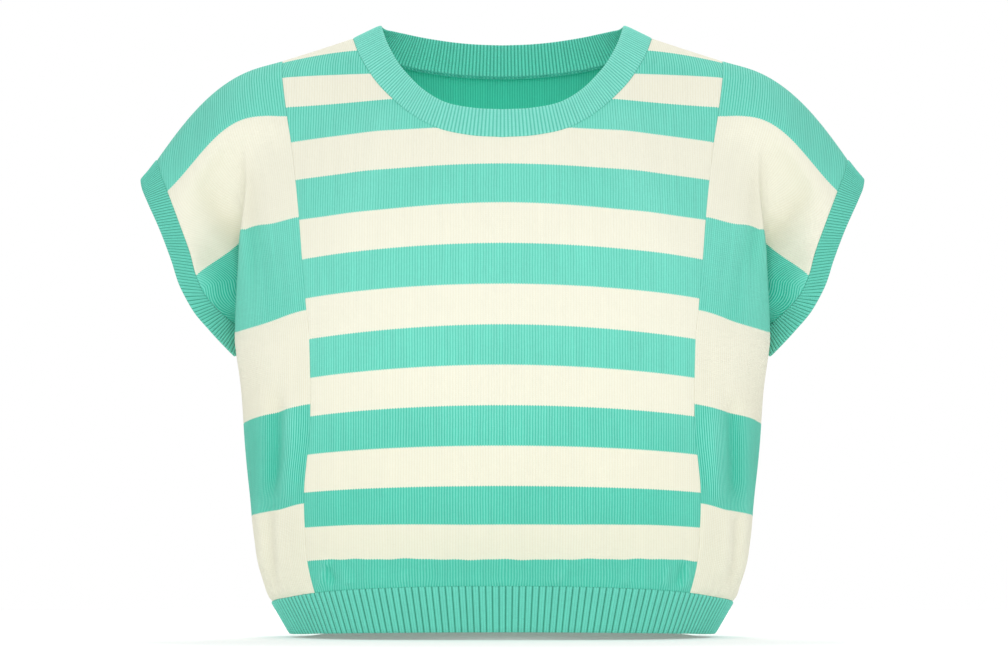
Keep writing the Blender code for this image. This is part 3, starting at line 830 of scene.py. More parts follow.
def new_group(name, inputs, outputs):
    """A node group, what its users give it, and the sockets for what it makes."""
    group = bpy.data.node_groups.new(name, "ShaderNodeTree")
    for label, kind, value in inputs:
        socket = group.interface.new_socket(label, in_out="INPUT", socket_type=kind)
        if value is not None:
            socket.default_value = value
    for label, kind in outputs:
        group.interface.new_socket(label, in_out="OUTPUT", socket_type=kind)
    return (group, group.nodes.new("NodeGroupInput").outputs,
            group.nodes.new("NodeGroupOutput").inputs)


def place_group(tree, group, **given):
    """Puts a group into a material; Valley_Width sets the input Valley Width."""
    node = tree.nodes.new("ShaderNodeGroup")
    node.node_tree = group
    for name, value in given.items():
        feed(tree, value, node.inputs[name.replace("_", " ")])
    return node.outputs


print("group helpers ready")

# %% [markdown]
# ### The stitch
#
# One stitch is two legs that meet at the bottom, with the loop below tucked in
# between. Across a wale the legs are two small humps; up the wale they lean out,
# which is why the height also depends on how far a point is from the middle.
# The group gives the height for the bump and the valley, which the colour
# darkens as painted shade.

# %% Node group: stitch
stitch_group, given, made = new_group(
    "Stitch", (("Wale", FLOAT, 0.0), ("Course", FLOAT, 0.0), ("Valley Width", FLOAT, 3.0)),
    (("Height", FLOAT), ("Valley", FLOAT)))
t = stitch_group
# the wales waver, by up to a sixth of a stitch each way
drift = minus(t, noise(t, times(t, given["Wale"], 0.11), times(t, given["Course"], 0.07)), 0.5)
wale = plus(t, given["Wale"], times(t, drift, 0.35))
from_middle = reckon(t, "ABSOLUTE", minus(t, times(t, reckon(t, "FRACT", wale), 2.0), 1.0))
# each leg is a hump with its crest halfway between the middle and the valley
off_crest = reckon(t, "ABSOLUTE", minus(t, times(t, from_middle, 2.0), 1.0))
leg = minus(t, 1.0, reckon(t, "POWER", off_crest, 2.0))
climb = reckon(t, "FRACT", minus(t, given["Course"], times(t, from_middle, 0.5)))
loop = reckon(t, "SINE", times(t, climb, math.pi))
t.links.new(times(t, leg, plus(t, 0.45, times(t, loop, 0.55))), made["Height"])
t.links.new(reckon(t, "POWER", from_middle, given["Valley Width"]), made["Valley"])
print("group", t.name, "with", len(t.nodes), "nodes")

# %% [markdown]
# ### The rib
#
# A one-by-one rib is one row of knit stitches that stands up and one of purl
# stitches that hides behind it. Its ridges are real mesh on this garment, since
# they show in the outline. The group adds the stitches up the ridge and the
# valley between two of them, which the colour darkens as painted shade. On the
# hem and the cuffs the two legs of a knit stitch also part a little on the crest,
# which the input Parting darkens with painted shade.

# %% Node group: rib
rib_group, given, made = new_group(
    "Rib", (("Rib", FLOAT, 0.0), ("Course", FLOAT, 0.0), ("Valley Width", FLOAT, 2.0),
            ("Parting", FLOAT, 0.0)),
    (("Height", FLOAT), ("Valley", FLOAT)))
t = rib_group
from_crest = reckon(t, "PINGPONG", given["Rib"], 0.5)
beside = times(t, from_crest, 2.0)
climb = reckon(t, "FRACT", minus(t, given["Course"], times(t, beside, 0.7)))
loop = reckon(t, "SINE", times(t, climb, math.pi))
t.links.new(times(t, loop, minus(t, 1.0, times(t, beside, 0.6))), made["Height"])
parting = times(t, given["Parting"], reckon(t, "POWER", minus(t, 1.0, beside), 4.0))
t.links.new(plus(t, parting, reckon(t, "POWER", beside, given["Valley Width"])),
            made["Valley"])
print("group", t.name, "with", len(t.nodes), "nodes")

# %% [markdown]
# ### The yarn
#
# Dyed cotton is never one colour. Each stitch turns its yarn a little to or from
# the light, whole wales run lighter or darker where the yarn came off another
# cone, and there are soft clouds over a hand's width. Fine fibres stand off the
# thread. The group takes the dyed colour and returns it with all of this.

# %% Node group: yarn
yarn_group, given, made = new_group(
    "Yarn", (("Dye", COLOUR, None), ("Deep Dye", COLOUR, None), ("Valley", FLOAT, 0.0),
             ("Wale", FLOAT, 0.0), ("Course", FLOAT, 0.0), ("Streaks", FLOAT, 0.05)),
    (("Colour", COLOUR), ("Fibre", FLOAT)))
t = yarn_group
speck = t.nodes.new("ShaderNodeTexWhiteNoise")
speck.noise_dimensions = "2D"
cell = t.nodes.new("ShaderNodeCombineXYZ")
t.links.new(reckon(t, "FLOOR", given["Wale"]), cell.inputs[0])
t.links.new(reckon(t, "FLOOR", given["Course"]), cell.inputs[1])
t.links.new(cell.outputs[0], speck.inputs["Vector"])
streak = noise(t, times(t, given["Wale"], 0.55), times(t, given["Course"], 0.02), 3.0)
cloud = noise(t, times(t, given["Wale"], 0.035), times(t, given["Course"], 0.03), 2.0)
fibre = noise(t, times(t, given["Wale"], 5.0), times(t, given["Course"], 2.2), 3.0)
# streaks count most, then clouds, then single stitches
tone = plus(t, times(t, minus(t, streak, 0.5), 2.4), plus(
    t, minus(t, cloud, 0.5), times(t, minus(t, speck.outputs["Value"], 0.5), 0.5)))
tone = plus(t, 1.0, times(t, tone, given["Streaks"]))
grey = t.nodes.new("ShaderNodeCombineXYZ")
for socket in grey.inputs:
    t.links.new(tone, socket)
# the deep colour in the valleys is partly the yarn's deeper look and partly painted shade
dyed = blend_colours(t, given["Valley"], given["Dye"], given["Deep Dye"])
t.links.new(blend_colours(t, 1.0, dyed, grey.outputs[0], "MULTIPLY"), made["Colour"])
t.links.new(fibre, made["Fibre"])
print("group", t.name, "with", len(t.nodes), "nodes")

# %% [markdown]
# ### The stripes
#
# A stripe starts on a course, and a course of knit ends in a row of V tips, so the
# border between two colours is a fine zigzag and not a ruled line. The centre of
# the front repeats every forty courses; the wide stripes of the sides start on
# courses of their own, so they come from one small group for each stripe.

# %% Node groups: stripes
STITCH_TIP = 0.55          # height of a V tip, in courses
BORDER = (-0.45, -0.1)     # where the colour changes, in courses from the border


def zigzag(tree, wale, course):
    """The course coordinate, with the tips of the stitches in it."""
    side = minus(tree, times(tree, reckon(tree, "FRACT", wale), 2.0), 1.0)
    return minus(tree, course, times(tree, reckon(tree, "ABSOLUTE", side), STITCH_TIP))


band_group, given, made = new_group(
    "Wide Stripe", (("Wale", FLOAT, 0.0), ("Course", FLOAT, 0.0), ("First", FLOAT, 0.0),
                    ("Last", FLOAT, 10.0)), (("Mask", FLOAT),))
t = band_group
level = zigzag(t, given["Wale"], given["Course"])
begun = soft_step(t, minus(t, level, given["First"]), *BORDER)
ended = soft_step(t, minus(t, level, given["Last"]), *BORDER)
t.links.new(minus(t, begun, ended), made["Mask"])

repeat_group, given, made = new_group(
    "Even Stripes", (("Wale", FLOAT, 0.0), ("Course", FLOAT, 0.0), ("Repeat", FLOAT, 40.0),
                     ("Start", FLOAT, 4.0)), (("Mask", FLOAT),))
t = repeat_group
level = plus(t, zigzag(t, given["Wale"], given["Course"]),
             plus(t, given["Start"], STITCH_TIP / 2))
turn = reckon(t, "SINE", times(t, reckon(t, "DIVIDE", level, given["Repeat"]), 2 * math.pi))
t.links.new(soft_step(t, turn, -0.03, 0.03), made["Mask"])
print("stripe groups ready")

# %% [markdown]
# ### One shader for all the cotton
#
# The knit is matt cotton, so the shader is a rough Principled one with a little
# sheen for the fibres that stand off the yarn. Velvet-like sheen would be too
# much: the photo shows hardly any bright rim. The stitches are too fine to be
# mesh, so a bump node raises them, by a third of a millimetre.

# %% One shader for all the cotton
RELIEF_JERSEY, RELIEF_RIB = 0.00035, 0.0004        # height of a stitch, m
COTTON_ROUGH, FIBRE_ROUGH = 0.80, 0.22             # roughness, and what fibres add
FIBRE_HEIGHT = 0.3                                 # beside the height of a stitch
BUMP_STRENGTH = 0.7


def stitch_coordinates(tree):
    """Wale or rib, and course, as counted by the UV map."""
    uv = tree.nodes.new("ShaderNodeUVMap")
    uv.uv_map = "stitches"
    split = tree.nodes.new("ShaderNodeSeparateXYZ")
    tree.links.new(uv.outputs[0], split.inputs[0])
    return split.outputs[0], split.outputs[1]


def cotton(name):
    """A new material, its node tree and its shader."""
    made = bpy.data.materials.new(name)
    made.use_nodes = True
    shader = made.node_tree.nodes["Principled BSDF"]
    for socket, value in (("Metallic", 0.0), ("Specular IOR Level", 0.5),
                          ("Sheen Weight", 0.06), ("Sheen Roughness", 0.6)):
        shader.inputs[socket].default_value = value
    return made, made.node_tree, shader


def finish_cotton(tree, shader, colour, height, fibre, relief):
    """Links colour, roughness and bump; relief is the stitch height in metres."""
    tree.links.new(colour, shader.inputs["Base Color"])
    tree.links.new(plus(tree, COTTON_ROUGH, times(tree, fibre, FIBRE_ROUGH)),
                   shader.inputs["Roughness"])
    bump = tree.nodes.new("ShaderNodeBump")
    bump.inputs["Strength"].default_value = BUMP_STRENGTH
    bump.inputs["Distance"].default_value = relief
    tree.links.new(plus(tree, height, times(tree, fibre, FIBRE_HEIGHT)),
                   bump.inputs["Height"])
    tree.links.new(bump.outputs[0], shader.inputs["Normal"])


print("stitch heights, mm:", round(RELIEF_JERSEY / MM, 2), round(RELIEF_RIB / MM, 2))

# %% [markdown]
# ### The dyes, and the shade painted into them
#
# Each yarn has two colours: the open yarn, and the yarn deep in the valley
# between two wales, where light goes through the cotton several times and comes
# back deeper in colour. The deep colour is also painted shade for the valley.
# The inside of the body gets hardly any light from outside, so its mint is
# painted deeper again, as painted shade. Colours are linear, as Blender reads
# them.

# %% The dyes, and painted shade
MINT, SHADED_DEEP_MINT = (0.188, 0.690, 0.557, 1.0), (0.066, 0.525, 0.383, 1.0)
CREAM, SHADED_DEEP_CREAM = (0.847, 0.836, 0.700, 1.0), (0.812, 0.788, 0.630, 1.0)
SHADED_INNER_MINT, SHADED_INNER_DEEP_MINT = (0.090, 0.585, 0.435, 1.0), (0.042, 0.475, 0.330, 1.0)
RIB_MINT, SHADED_RIB_VALLEY = (0.152, 0.680, 0.540, 1.0), (0.002, 0.165, 0.095, 1.0)
INNER_RIB_MINT, SHADED_INNER_RIB_VALLEY = (0.150, 0.665, 0.525, 1.0), (0.007, 0.25, 0.16, 1.0)
NECK_MINT, SHADED_NECK_VALLEY = (0.236, 0.738, 0.615, 1.0), (0.050, 0.430, 0.320, 1.0)
WIDE_STRIPES = ((50.1, 103.5), (150.2, 196.0), (250.0, 400.0))   # first and last course
print(len(WIDE_STRIPES), "wide stripes on the sides; the uppermost covers the shoulder")


# %% Which courses are mint
def even_stripes(tree, wale, course):
    return place_group(tree, repeat_group, Wale=wale, Course=course)["Mask"]


def wide_stripes(tree, wale, course):
    total = None
    for first, last in WIDE_STRIPES:
        one = place_group(tree, band_group, Wale=wale, Course=course,
                          First=first, Last=last)["Mask"]
        total = one if total is None else plus(tree, total, one)
    return total


print("stripes of the centre and of the sides ready")

# %% [markdown]
# ### Jersey that is stretched and drawn in, with painted shade
#
# The same knit looks different over the garment. Near the hem it is drawn in, so
# the valleys close, and the lower body is painted darker there, as shade. On the
# shoulder it is stretched and the valleys open up. In the fold beside the sleeve
# the cloth is painted darker, as shade. All three only change how much of the
# deep, partly shaded colour shows, and so does the height of a fold, which paints
# shade in its troughs and light on its ridges; this keeps one material for a
# whole panel.

# %% Painted shade in the fold beside the sleeve
SLEEVE_SHADE_EDGE, SLEEVE_SHADE_HEIGHT, SLEEVE_SHADE_SLOPE = 0.203, 0.225, 0.062     # m, m, m per m
SLEEVE_SHADE_BEGINS, SLEEVE_SHADE_FADES = (0.0, 0.003), (0.004, 0.034)          # m out from its edge
SLEEVE_SHADE_TOP = (-0.185, -0.125)                                       # height, m


def sleeve_fold_shade(tree):
    """1.5 in the fold between sleeve and body, where shade is painted on the cloth."""
    split = tree.nodes.new("ShaderNodeSeparateXYZ")
    tree.links.new(tree.nodes.new("ShaderNodeTexCoord").outputs["Object"], split.inputs[0])
    height = split.outputs[2]
    edge = minus(tree, SLEEVE_SHADE_EDGE, times(
        tree, plus(tree, height, SLEEVE_SHADE_HEIGHT), SLEEVE_SHADE_SLOPE))
    beyond = minus(tree, reckon(tree, "ABSOLUTE", split.outputs[0]), edge)
    inside = minus(tree, soft_step(tree, beyond, *SLEEVE_SHADE_BEGINS),
                   soft_step(tree, beyond, *SLEEVE_SHADE_FADES))
    low = minus(tree, 1.0, soft_step(tree, height, *SLEEVE_SHADE_TOP))
    return times(tree, times(tree, inside, low), 1.5)


print("the fold's edge is", SLEEVE_SHADE_EDGE / MM, "mm from the middle, on each side")

# %% Striped jersey
STRETCHED = (225.0, 290.0)     # courses over which the valleys open on the shoulder
CREASE_SHADE = -0.13              # share of the deep colour that a millimetre of fold takes off: painted light on ridges, painted shade in troughs


def striped_jersey(name, stripes, drawn_shade_from, drawn_shade_to, contrast, mint, shaded_deep_mint):
    """The knit is drawn in towards the hem between the two courses given, and is
    painted darker there as shade; contrast says how much darker its valleys are
    painted there."""
    made, tree, shader = cotton(name)
    wale, course = stitch_coordinates(tree)
    mask = stripes(tree, wale, course)
    stitch = place_group(tree, stitch_group, Wale=wale, Course=course, Valley_Width=2.2)
    # the lower body, where the knit is drawn in, gets painted shade
    drawn_and_shaded = minus(tree, 1.0, soft_step(tree, course, drawn_shade_to, drawn_shade_from))
    stretched = times(tree, stitch["Valley"], soft_step(tree, course, *STRETCHED))
    # painted shade in the fold beside the sleeve adds to that of the lower body
    drawn_and_shaded = plus(tree, drawn_and_shaded, sleeve_fold_shade(tree))
    deeper_shade = plus(tree, times(tree, stretched, 0.6), times(tree, drawn_and_shaded, plus(
        tree, 0.45 - 0.2 * contrast, times(
            tree, stitch["Valley"], 0.75 + 0.4 * contrast))))
    # painted shade in the troughs of folds and painted light on their ridges
    fold = tree.nodes.new("ShaderNodeAttribute")
    fold.attribute_name = "crease"
    crease_shade = times(tree, fold.outputs["Fac"], CREASE_SHADE)
    valley_shade = plus(tree, stitch["Valley"], plus(tree, deeper_shade, crease_shade))
    valley_shade = reckon(tree, "MINIMUM", valley_shade, 1.0 + 0.45 * contrast)
    dye = blend_colours(tree, mask, CREAM, mint)
    # the deep colour: partly the yarn's own, partly painted shade in the valleys
    deep = blend_colours(tree, mask, SHADED_DEEP_CREAM, shaded_deep_mint)
    # mint yarn is streakier than cream yarn
    shade = plus(tree, 0.018, times(tree, mask, 0.045))
    yarn = place_group(tree, yarn_group, Dye=dye, Deep_Dye=deep, Valley=valley_shade,
                       Wale=wale, Course=course, Streaks=shade)
    finish_cotton(tree, shader, yarn["Colour"], stitch["Height"], yarn["Fibre"],
                  RELIEF_JERSEY)
    return made


# the inside copies are painted deeper, as shade for cloth that little light reaches
SIDES = (("outside", (MINT, SHADED_DEEP_MINT)), ("inside", (SHADED_INNER_MINT, SHADED_INNER_DEEP_MINT)))
NARROW_DRAWN_SHADE, WIDE_DRAWN_SHADE = (150.0, 20.0, 0.25), (190.0, 60.0, 1.2)   # from, to, contrast
narrow_jersey = [striped_jersey("narrow_stripe_" + side, even_stripes, *NARROW_DRAWN_SHADE, *dyes)
                 for side, dyes in SIDES]
wide_jersey = [striped_jersey("wide_stripe_" + side, wide_stripes, *WIDE_DRAWN_SHADE, *dyes)
               for side, dyes in SIDES]
print("finishes:", [look.name for look in narrow_jersey + wide_jersey])


# %% Mint ribs
def mint_rib(name, dye, deep, valley_width, parting):
    made, tree, shader = cotton(name)
    rib, course = stitch_coordinates(tree)
    stitch = place_group(tree, rib_group, Rib=rib, Course=course, Valley_Width=valley_width,
                         Parting=parting)
    yarn = place_group(tree, yarn_group, Dye=dye, Deep_Dye=deep, Valley=stitch["Valley"],
                       Wale=rib, Course=course, Streaks=0.05)
    finish_cotton(tree, shader, yarn["Colour"], stitch["Height"], yarn["Fibre"], RELIEF_RIB)
    return made


# the ribs' valleys are painted dark, as shade
inner_rib = mint_rib("mint_rib_inside", INNER_RIB_MINT, SHADED_INNER_RIB_VALLEY, 2.0, 0.0)
rib_knit = [mint_rib("mint_rib_knit", RIB_MINT, SHADED_RIB_VALLEY, 3.2, 0.34), inner_rib]
neck_knit = [mint_rib("mint_neck_rib_knit", NECK_MINT, SHADED_NECK_VALLEY, 2.0, 0.0), inner_rib]
print("finishes:", [look.name for look in rib_knit + neck_knit])

# %% [markdown]
# ## The front
#
# The front is three pieces: the centre with narrow stripes, and two side panels
# that run out into the caps of the sleeves. They are cut from one surface, so
# the seams meet, and each gets its own folds.

# %% Centre of the front
laid = (laid_folds(whole(front_along, -1.0), whole(front_knit), FRONT_FOLDS)
        + hem_gathers(whole(front_along, -1.0), whole(front_knit), spacing=13.0, seed=4))
cut = np.s_[:, :SEAM_COLUMN + 1]
middle = front.shape[1] - 1                # column of the centre line, on both halves
laid = laid[:, middle - SEAM_COLUMN:middle + SEAM_COLUMN + 1]
centre_wale, centre_knit = whole(front_along[cut], -1.0), whole(front_knit[cut])
centre = cloth_panel("jersey_front_centre", whole(front[cut]), whole(front_out[cut]),
                     centre_wale + hem_ripple(centre_wale, centre_knit, reach=50.0, seed=6),
                     centre_knit + hem_ripple(centre_wale, centre_knit, reach=60.0, seed=5),
                     laid, False, narrow_jersey, "front_centre")

# %% Side panels with the caps
cut = np.s_[:, SEAM_COLUMN:]
side_along = front_along[cut] - front_along[:, SEAM_COLUMN:SEAM_COLUMN + 1]
side_wale = side_along + hanging_sleeve(front_knit)[cut]
sides = []
for name, hand, table, seed in (("left", 1.0, LEFT_FOLDS, 11),
                                ("right", -1.0, RIGHT_FOLDS, 12)):
    turn = np.array((hand, 1.0, 1.0))
    laid = (laid_folds(side_along, front_knit[cut], table)
            + hem_gathers(side_along, front_knit[cut], spacing=11.0, seed=seed))
    sides.append(cloth_panel("jersey_side_" + name, front[cut] * turn, front_out[cut] * turn,
                             side_wale, front_knit[cut] + front_pull[cut], laid, hand < 0,
                             wide_jersey, "front_side_" + name))

# %% [markdown]
# ## The back
#
# The photo shows only the inside of the back's neck, which is plain mint. The rest
# carries the wide stripes of the side panels round, as one plain panel.

# %% Back panel
back_wale = whole(rear_along, -1.0)
laid = (laid_folds(back_wale, whole(rear_knit), BACK_FOLDS)
        + hem_gathers(back_wale, whole(rear_knit), spacing=14.0, seed=21))
back = cloth_panel("jersey_back", whole(rear), whole(rear_out),
                   whole(rear_along + hanging_sleeve(rear_knit), -1.0), whole(rear_knit),
                   laid, True, wide_jersey, "back")

# %% [markdown]
# ## Ribbed bands
#
# Neckband, cuffs and hem are closed rings of rib. Their section is a flat loop:
# up the outside, round the free edge and down the inside. It is swept round the
# garment with several points for each rib, so the ridges are real. Towards a
# folded or bound-off edge the ridges die away, as the picture shows at the neck.

# %% Rings
NECK_RIBS, CUFF_RIBS, HEM_RIBS = 236, 152, 188
BAND_THICK = 2.0           # mm


def both_halves(half):
    """A closed ring from the half that starts and ends on the centre plane."""
    half = half.copy()
    half[[0, -1], 0] = 0.0
    return np.vstack((half, (half * np.array((-1.0, 1.0, 1.0)))[-2:0:-1]))


def front_then_back(a, b, directions=False):
    joined = np.vstack((a[:-1], ((a[-1] + b[-1]) / 2)[None], b[-2::-1]))
    return unit(joined) if directions else joined


def even_ring(guide, rings, count):
    """Samples closed lines of points at even steps along the guide."""
    closed = np.vstack((guide, guide[:1]))
    length = np.concatenate(((0.0,), np.cumsum(
        np.linalg.norm(np.diff(closed, axis=0), axis=1))))
    places = np.arange(count) / count * length[-1]
    index = np.searchsorted(length, places, side="right") - 1
    share = ((places - length[index]) / (length[index + 1] - length[index]))[:, None]
    found = []
    for ring in rings:
        around = np.vstack((ring, ring[:1]))
        found.append(around[index] * (1 - share) + around[index + 1] * share)
    return found


print("ribs round the neck, a cuff and the hem:", NECK_RIBS, CUFF_RIBS, HEM_RIBS)

# %% [markdown]
# ### The section of a band
#
# The section starts below the seam, inside the panel's border, so that no light
# comes through the joint. It is a list of distances from the seam, partly as a
# share of the band's width, and of depths below the band's outside. The ridges
# are added to the outer points and, flatter, to the inner ones.

# %% The section of a band
def band_section(rows, gap):
    """Rows of (share of the width, mm past it, depth in mm), out, round and back in."""
    half = BAND_THICK / 2
    between = [(k / rows, (1 - 2 * k / rows) * 1.6 + gap * (1 - k / rows))
               for k in range(rows)]
    section = [(0.0, -1.4, -2.35), (0.0, gap, -2.1), (0.0, gap, -0.3),
               (0.0, gap + 0.3, -0.05), (0.0, gap + 0.9, 0.0)]
    section += [place + (0.0,) for place in between[1:]]
    section += [(1.0, -half * (1 - math.sin(a)), -half * (1 - math.cos(a)))
                for a in np.linspace(0, math.pi, 9)]
    section += [place + (-BAND_THICK,) for place in between[:0:-2]]
    return section + [(0.0, gap + 2.2, -BAND_THICK), (0.0, gap + 0.8, -2.6),
                      (0.0, -1.2, -2.9)]


print(len(band_section(11, 0.07)), "points round the section of the hem band")

# %% A ribbed band
BAND_TURNS = 9.0           # how far from its seam a band faces its own way, mm
RIDGE_STARTS = 1.6         # how far from its seam a ridge is at its full height, mm
EDGE_RIDGE = 0.12          # share of a ridge that is left at the free edge
INNER_RELIEF = 0.45        # height of the ridges inside, beside those outside


def ribbed_band(name, seam, edge, facing, ribs, per_rib, relief, sharpness, fade, rows,
                replaced, looks, gap=0.07):
    """per_rib is the number of points across a rib and rows that up the outside.
    relief is the ridges' height, sharpness how narrow the valleys are, and
    fade the distance from the free edge over which the ridges die away, mm."""
    seam, edge, facing = even_ring(seam, (seam, edge, facing), ribs * per_rib)
    facing = unit(facing)
    up = unit(edge - seam)
    along = np.roll(seam, -1, axis=0) - np.roll(seam, 1, axis=0)
    out = unit(np.cross(along, up))
    if np.sum(out * facing) < 0:
        out = -out
    width = np.linalg.norm(edge - seam, axis=1) / MM
    phase = np.arange(ribs * per_rib) / per_rib
    ridge = 0.5 + 0.5 * np.cos(2 * np.pi * phase)
    ridge_out, ridge_in = ridge ** sharpness, (1 - ridge) ** 0.8
    section = band_section(rows, gap)
    points, heights = [], []
    for share, offset, depth in section:
        a = share * width + offset
        # near the seam the band still faces the way the panel does
        turned = ease(a / BAND_TURNS)[:, None]
        normal = unit(facing * (1 - turned) + out * turned)
        kept = EDGE_RIDGE + (1 - EDGE_RIDGE) * ease((width - a) / fade)
        strength = ease(0.3 + a / RIDGE_STARTS) * kept
        if depth > -BAND_THICK / 2:
            lift = depth + relief * ridge_out * strength
        else:
            lift = depth - INNER_RELIEF * relief * ridge_in * strength
        points.append(seam + (up * a[:, None] + normal * lift[:, None]) * MM)
        heights.append(a)
    points, heights = np.array(points), np.array(heights)
    count = len(section)
    place = grid_faces(count, len(seam), wrap_rows=True, wrap_columns=True)
    index = (place[..., 0] % count) * len(seam) + place[..., 1] % len(seam)
    u = place[..., 1] / per_rib
    v = heights[place[..., 0] % count, place[..., 1] % len(seam)] / COURSE
    faces, corners = index, np.stack((u, v), -1)
    # the ring may run either way round, so the faces are turned to look outward
    first = points[0, 1] - points[0, 0], points[1, 0] - points[0, 0]
    if np.dot(np.cross(*first), facing[0] * 0.5 - up[0]) < 0:
        faces, corners = faces[:, ::-1], corners[:, ::-1]
    deep = np.array([depth < -BAND_THICK / 2 for share, offset, depth in section])
    inside = deep[place[..., 0] % count].all(axis=1)
    piece = add_mesh(name, points.reshape(-1, 3), faces.tolist(), corners, looks,
                     inside)
    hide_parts(replaced)
    return piece, (seam, up, facing)


# %% Hem band
free = [(surface(HALF_PARTS, 0.0, is_back) + np.array((0.0, 0.0, HEM_Z))) * MM
        for is_back in (False, True)]
hem, _ = ribbed_band(
    "rib_hem", both_halves(front_then_back(front[0], rear[0])),
    both_halves(front_then_back(*free)),
    unit(both_halves(front_then_back(front_out[0], rear_out[0], True))),
    ribs=HEM_RIBS, per_rib=8, relief=0.95, sharpness=0.55, fade=1.6, rows=11,
    replaced="hem_rib", looks=rib_knit)

# %% [markdown]
# ### The neckband
#
# The free edge leans in towards a point behind the throat, flatter in front than
# behind. It is found from the seam, by the band's width and the lean that the
# table gives at each place.

# %% Neckband
NECK_AIM = {"front": -14.0, "back": 2.0}       # depth that each half leans towards, mm
neck_row = np.s_[-1, :NECK_COLUMN + 1]
neck_edges = []
for points, half in ((front[neck_row], "front"), (rear[neck_row], "back")):
    q = points / MM
    lean = np.radians(neck(half + "_lean", q[:, 0]))[:, None]
    inward = np.stack((-q[:, 0] * 0.9, NECK_AIM[half] - q[:, 1], 0 * q[:, 0]), -1)
    inward[q[:, 0] > NECK[-1][0] - 1.0] = (-1.0, 0.0, 0.0)
    neck_edges.append((q + NECK_BAND * (unit(inward) * np.cos(lean)
                                        + np.array((0.0, 0.0, 1.0)) * np.sin(lean))) * MM)
neckband, neck_ring = ribbed_band(
    "rib_neckband",
    both_halves(front_then_back(front[neck_row], rear[neck_row])),
    both_halves(front_then_back(*neck_edges)),
    unit(both_halves(front_then_back(front_out[neck_row], rear_out[neck_row], True))),
    ribs=NECK_RIBS, per_rib=6, relief=0.62, sharpness=0.9, fade=2.6, rows=9,
    replaced="neckband", looks=neck_knit)

# %% [markdown]
# ### The cuffs
#
# A cuff is linked to the end of each course between underarm and shoulder. The
# picture shows its ribs leaning towards the shoulder as they leave the seam, so
# each point of the free edge is taken from a little farther along the armhole.

# %% Cuffs
# how far the ribs lean at these places along the armhole, in mm
CUFF_LEAN = ((0, 0), (12, 7), (30, 14), (60, 13), (110, 5), (160, 0), (200, 0))
ARM_ROWS = np.s_[UNDERARM_ROW:, -1]
arm = arm_length(front_levels[ARM_ROWS])
across = arm + np.interp(arm, *zip(*CUFF_LEAN))
free = [np.stack((armhole("edge_x", across), sign * armhole("edge_d", across),
                  armhole("edge_z", across) + HEM_Z), -1) * MM for sign in (-1.0, 1.0)]
seam = front_then_back(front[ARM_ROWS], rear[ARM_ROWS])[:-1]
edge = front_then_back(*free)[:-1]
facing = front_then_back(front_out[ARM_ROWS], rear_out[ARM_ROWS], True)[:-1]
for _ in range(12):      # the armhole's edge turns evenly at the underarm
    facing = unit(facing * 2 + np.roll(facing, 1, axis=0) + np.roll(facing, -1, axis=0))
cuffs = []
for name, hand in (("left", 1.0), ("right", -1.0)):
    turn = np.array((hand, 1.0, 1.0))
    cuff, _ = ribbed_band(
        "rib_cuff_" + name, seam * turn, edge * turn, facing * turn,
        ribs=CUFF_RIBS, per_rib=6, relief=0.6, sharpness=0.8, fade=1.8, rows=7,
        replaced="cuff_" + name, looks=rib_knit)
    cuffs.append(cuff)

# %% [markdown]
# ## The linking stitch in the neck
#
# Inside the neck a row of chain stitches joins the band to the body. It is one of
# the few places where single stitches are large enough to be seen, so each loop
# is a small mesh of its own: a drop of yarn, point to tail with the next.

# %% Linking stitch
LOOP_HEIGHT, LOOP_RISE = 0.0015, 0.00022      # half the loop across, and out, m


def chain_of_loops(name, ring, loops, offset, depth, yarn, looks):
    """Teardrop loops of yarn laid on the inside of a band along its seam. offset is
    up from the seam, depth inwards and yarn half as thick as the yarn, mm."""
    seam, up, facing = ring
    closed = np.vstack((seam, seam[:1]))
    steps = np.linalg.norm(np.diff(closed, axis=0), axis=1)
    length = np.concatenate(((0.0,), np.cumsum(steps)))
    step = length[-1] / loops
    turns, sides = 10, 5          # points round a loop, and round its yarn
    points, faces, corners = [], [], []
    around = np.linspace(0, 2 * np.pi, turns, endpoint=False)
    for k in range(loops):
        middle = (k + 0.5) * step
        i = min(int(np.searchsorted(length, middle, side="right")) - 1, len(seam) - 1)
        share = (middle - length[i]) / (length[i + 1] - length[i])
        base = closed[i] * (1 - share) + closed[i + 1] * share
        forward = unit(closed[i + 1] - closed[i])
        inward, rise = -facing[i], up[i]
        base = base + (rise * offset + inward * depth) * MM
        # a drop's outline, with its point tucked under the tail of the next
        x = -np.cos(around) * step * 0.68
        y = np.sin(around) * (0.62 + 0.38 * np.cos(around)) * LOOP_HEIGHT
        z = LOOP_RISE * np.cos(around)
        loop = base + x[:, None] * forward + y[:, None] * rise + z[:, None] * inward
        ahead = unit(np.roll(loop, -1, axis=0) - np.roll(loop, 1, axis=0))
        side = unit(np.cross(ahead, inward))
        start = len(points) * turns * sides
        tube = [loop + (side * math.cos(a) + inward * math.sin(a)) * yarn * MM
                for a in np.linspace(0, 2 * np.pi, sides, endpoint=False)]
        points.append(np.stack(tube, 1).reshape(-1, 3))
        for i in range(turns):
            for j in range(sides):
                i2, j2 = (i + 1) % turns, (j + 1) % sides
                faces.append((start + i * sides + j, start + i2 * sides + j,
                              start + i2 * sides + j2, start + i * sides + j2))
                corners.append([(k + 0.5, i), (k + 0.5, i + 1), (k + 0.5, i + 1), (k + 0.5, i)])
    return add_mesh(name, np.concatenate(points), faces, corners, looks)


linking = chain_of_loops("neck_linking_stitch", neck_ring, loops=196, offset=-0.6,
                         depth=3.1, yarn=0.42, looks=neck_knit[:1])

# %% [markdown]
# ## What each piece is cut to
#
# A knitted panel is made to size, not cut from a roll, but it still has a flat
# width and length. They are stated for each piece, with the area where the shape
# isn't a rectangle, so that the cloth can be checked against what hangs here.

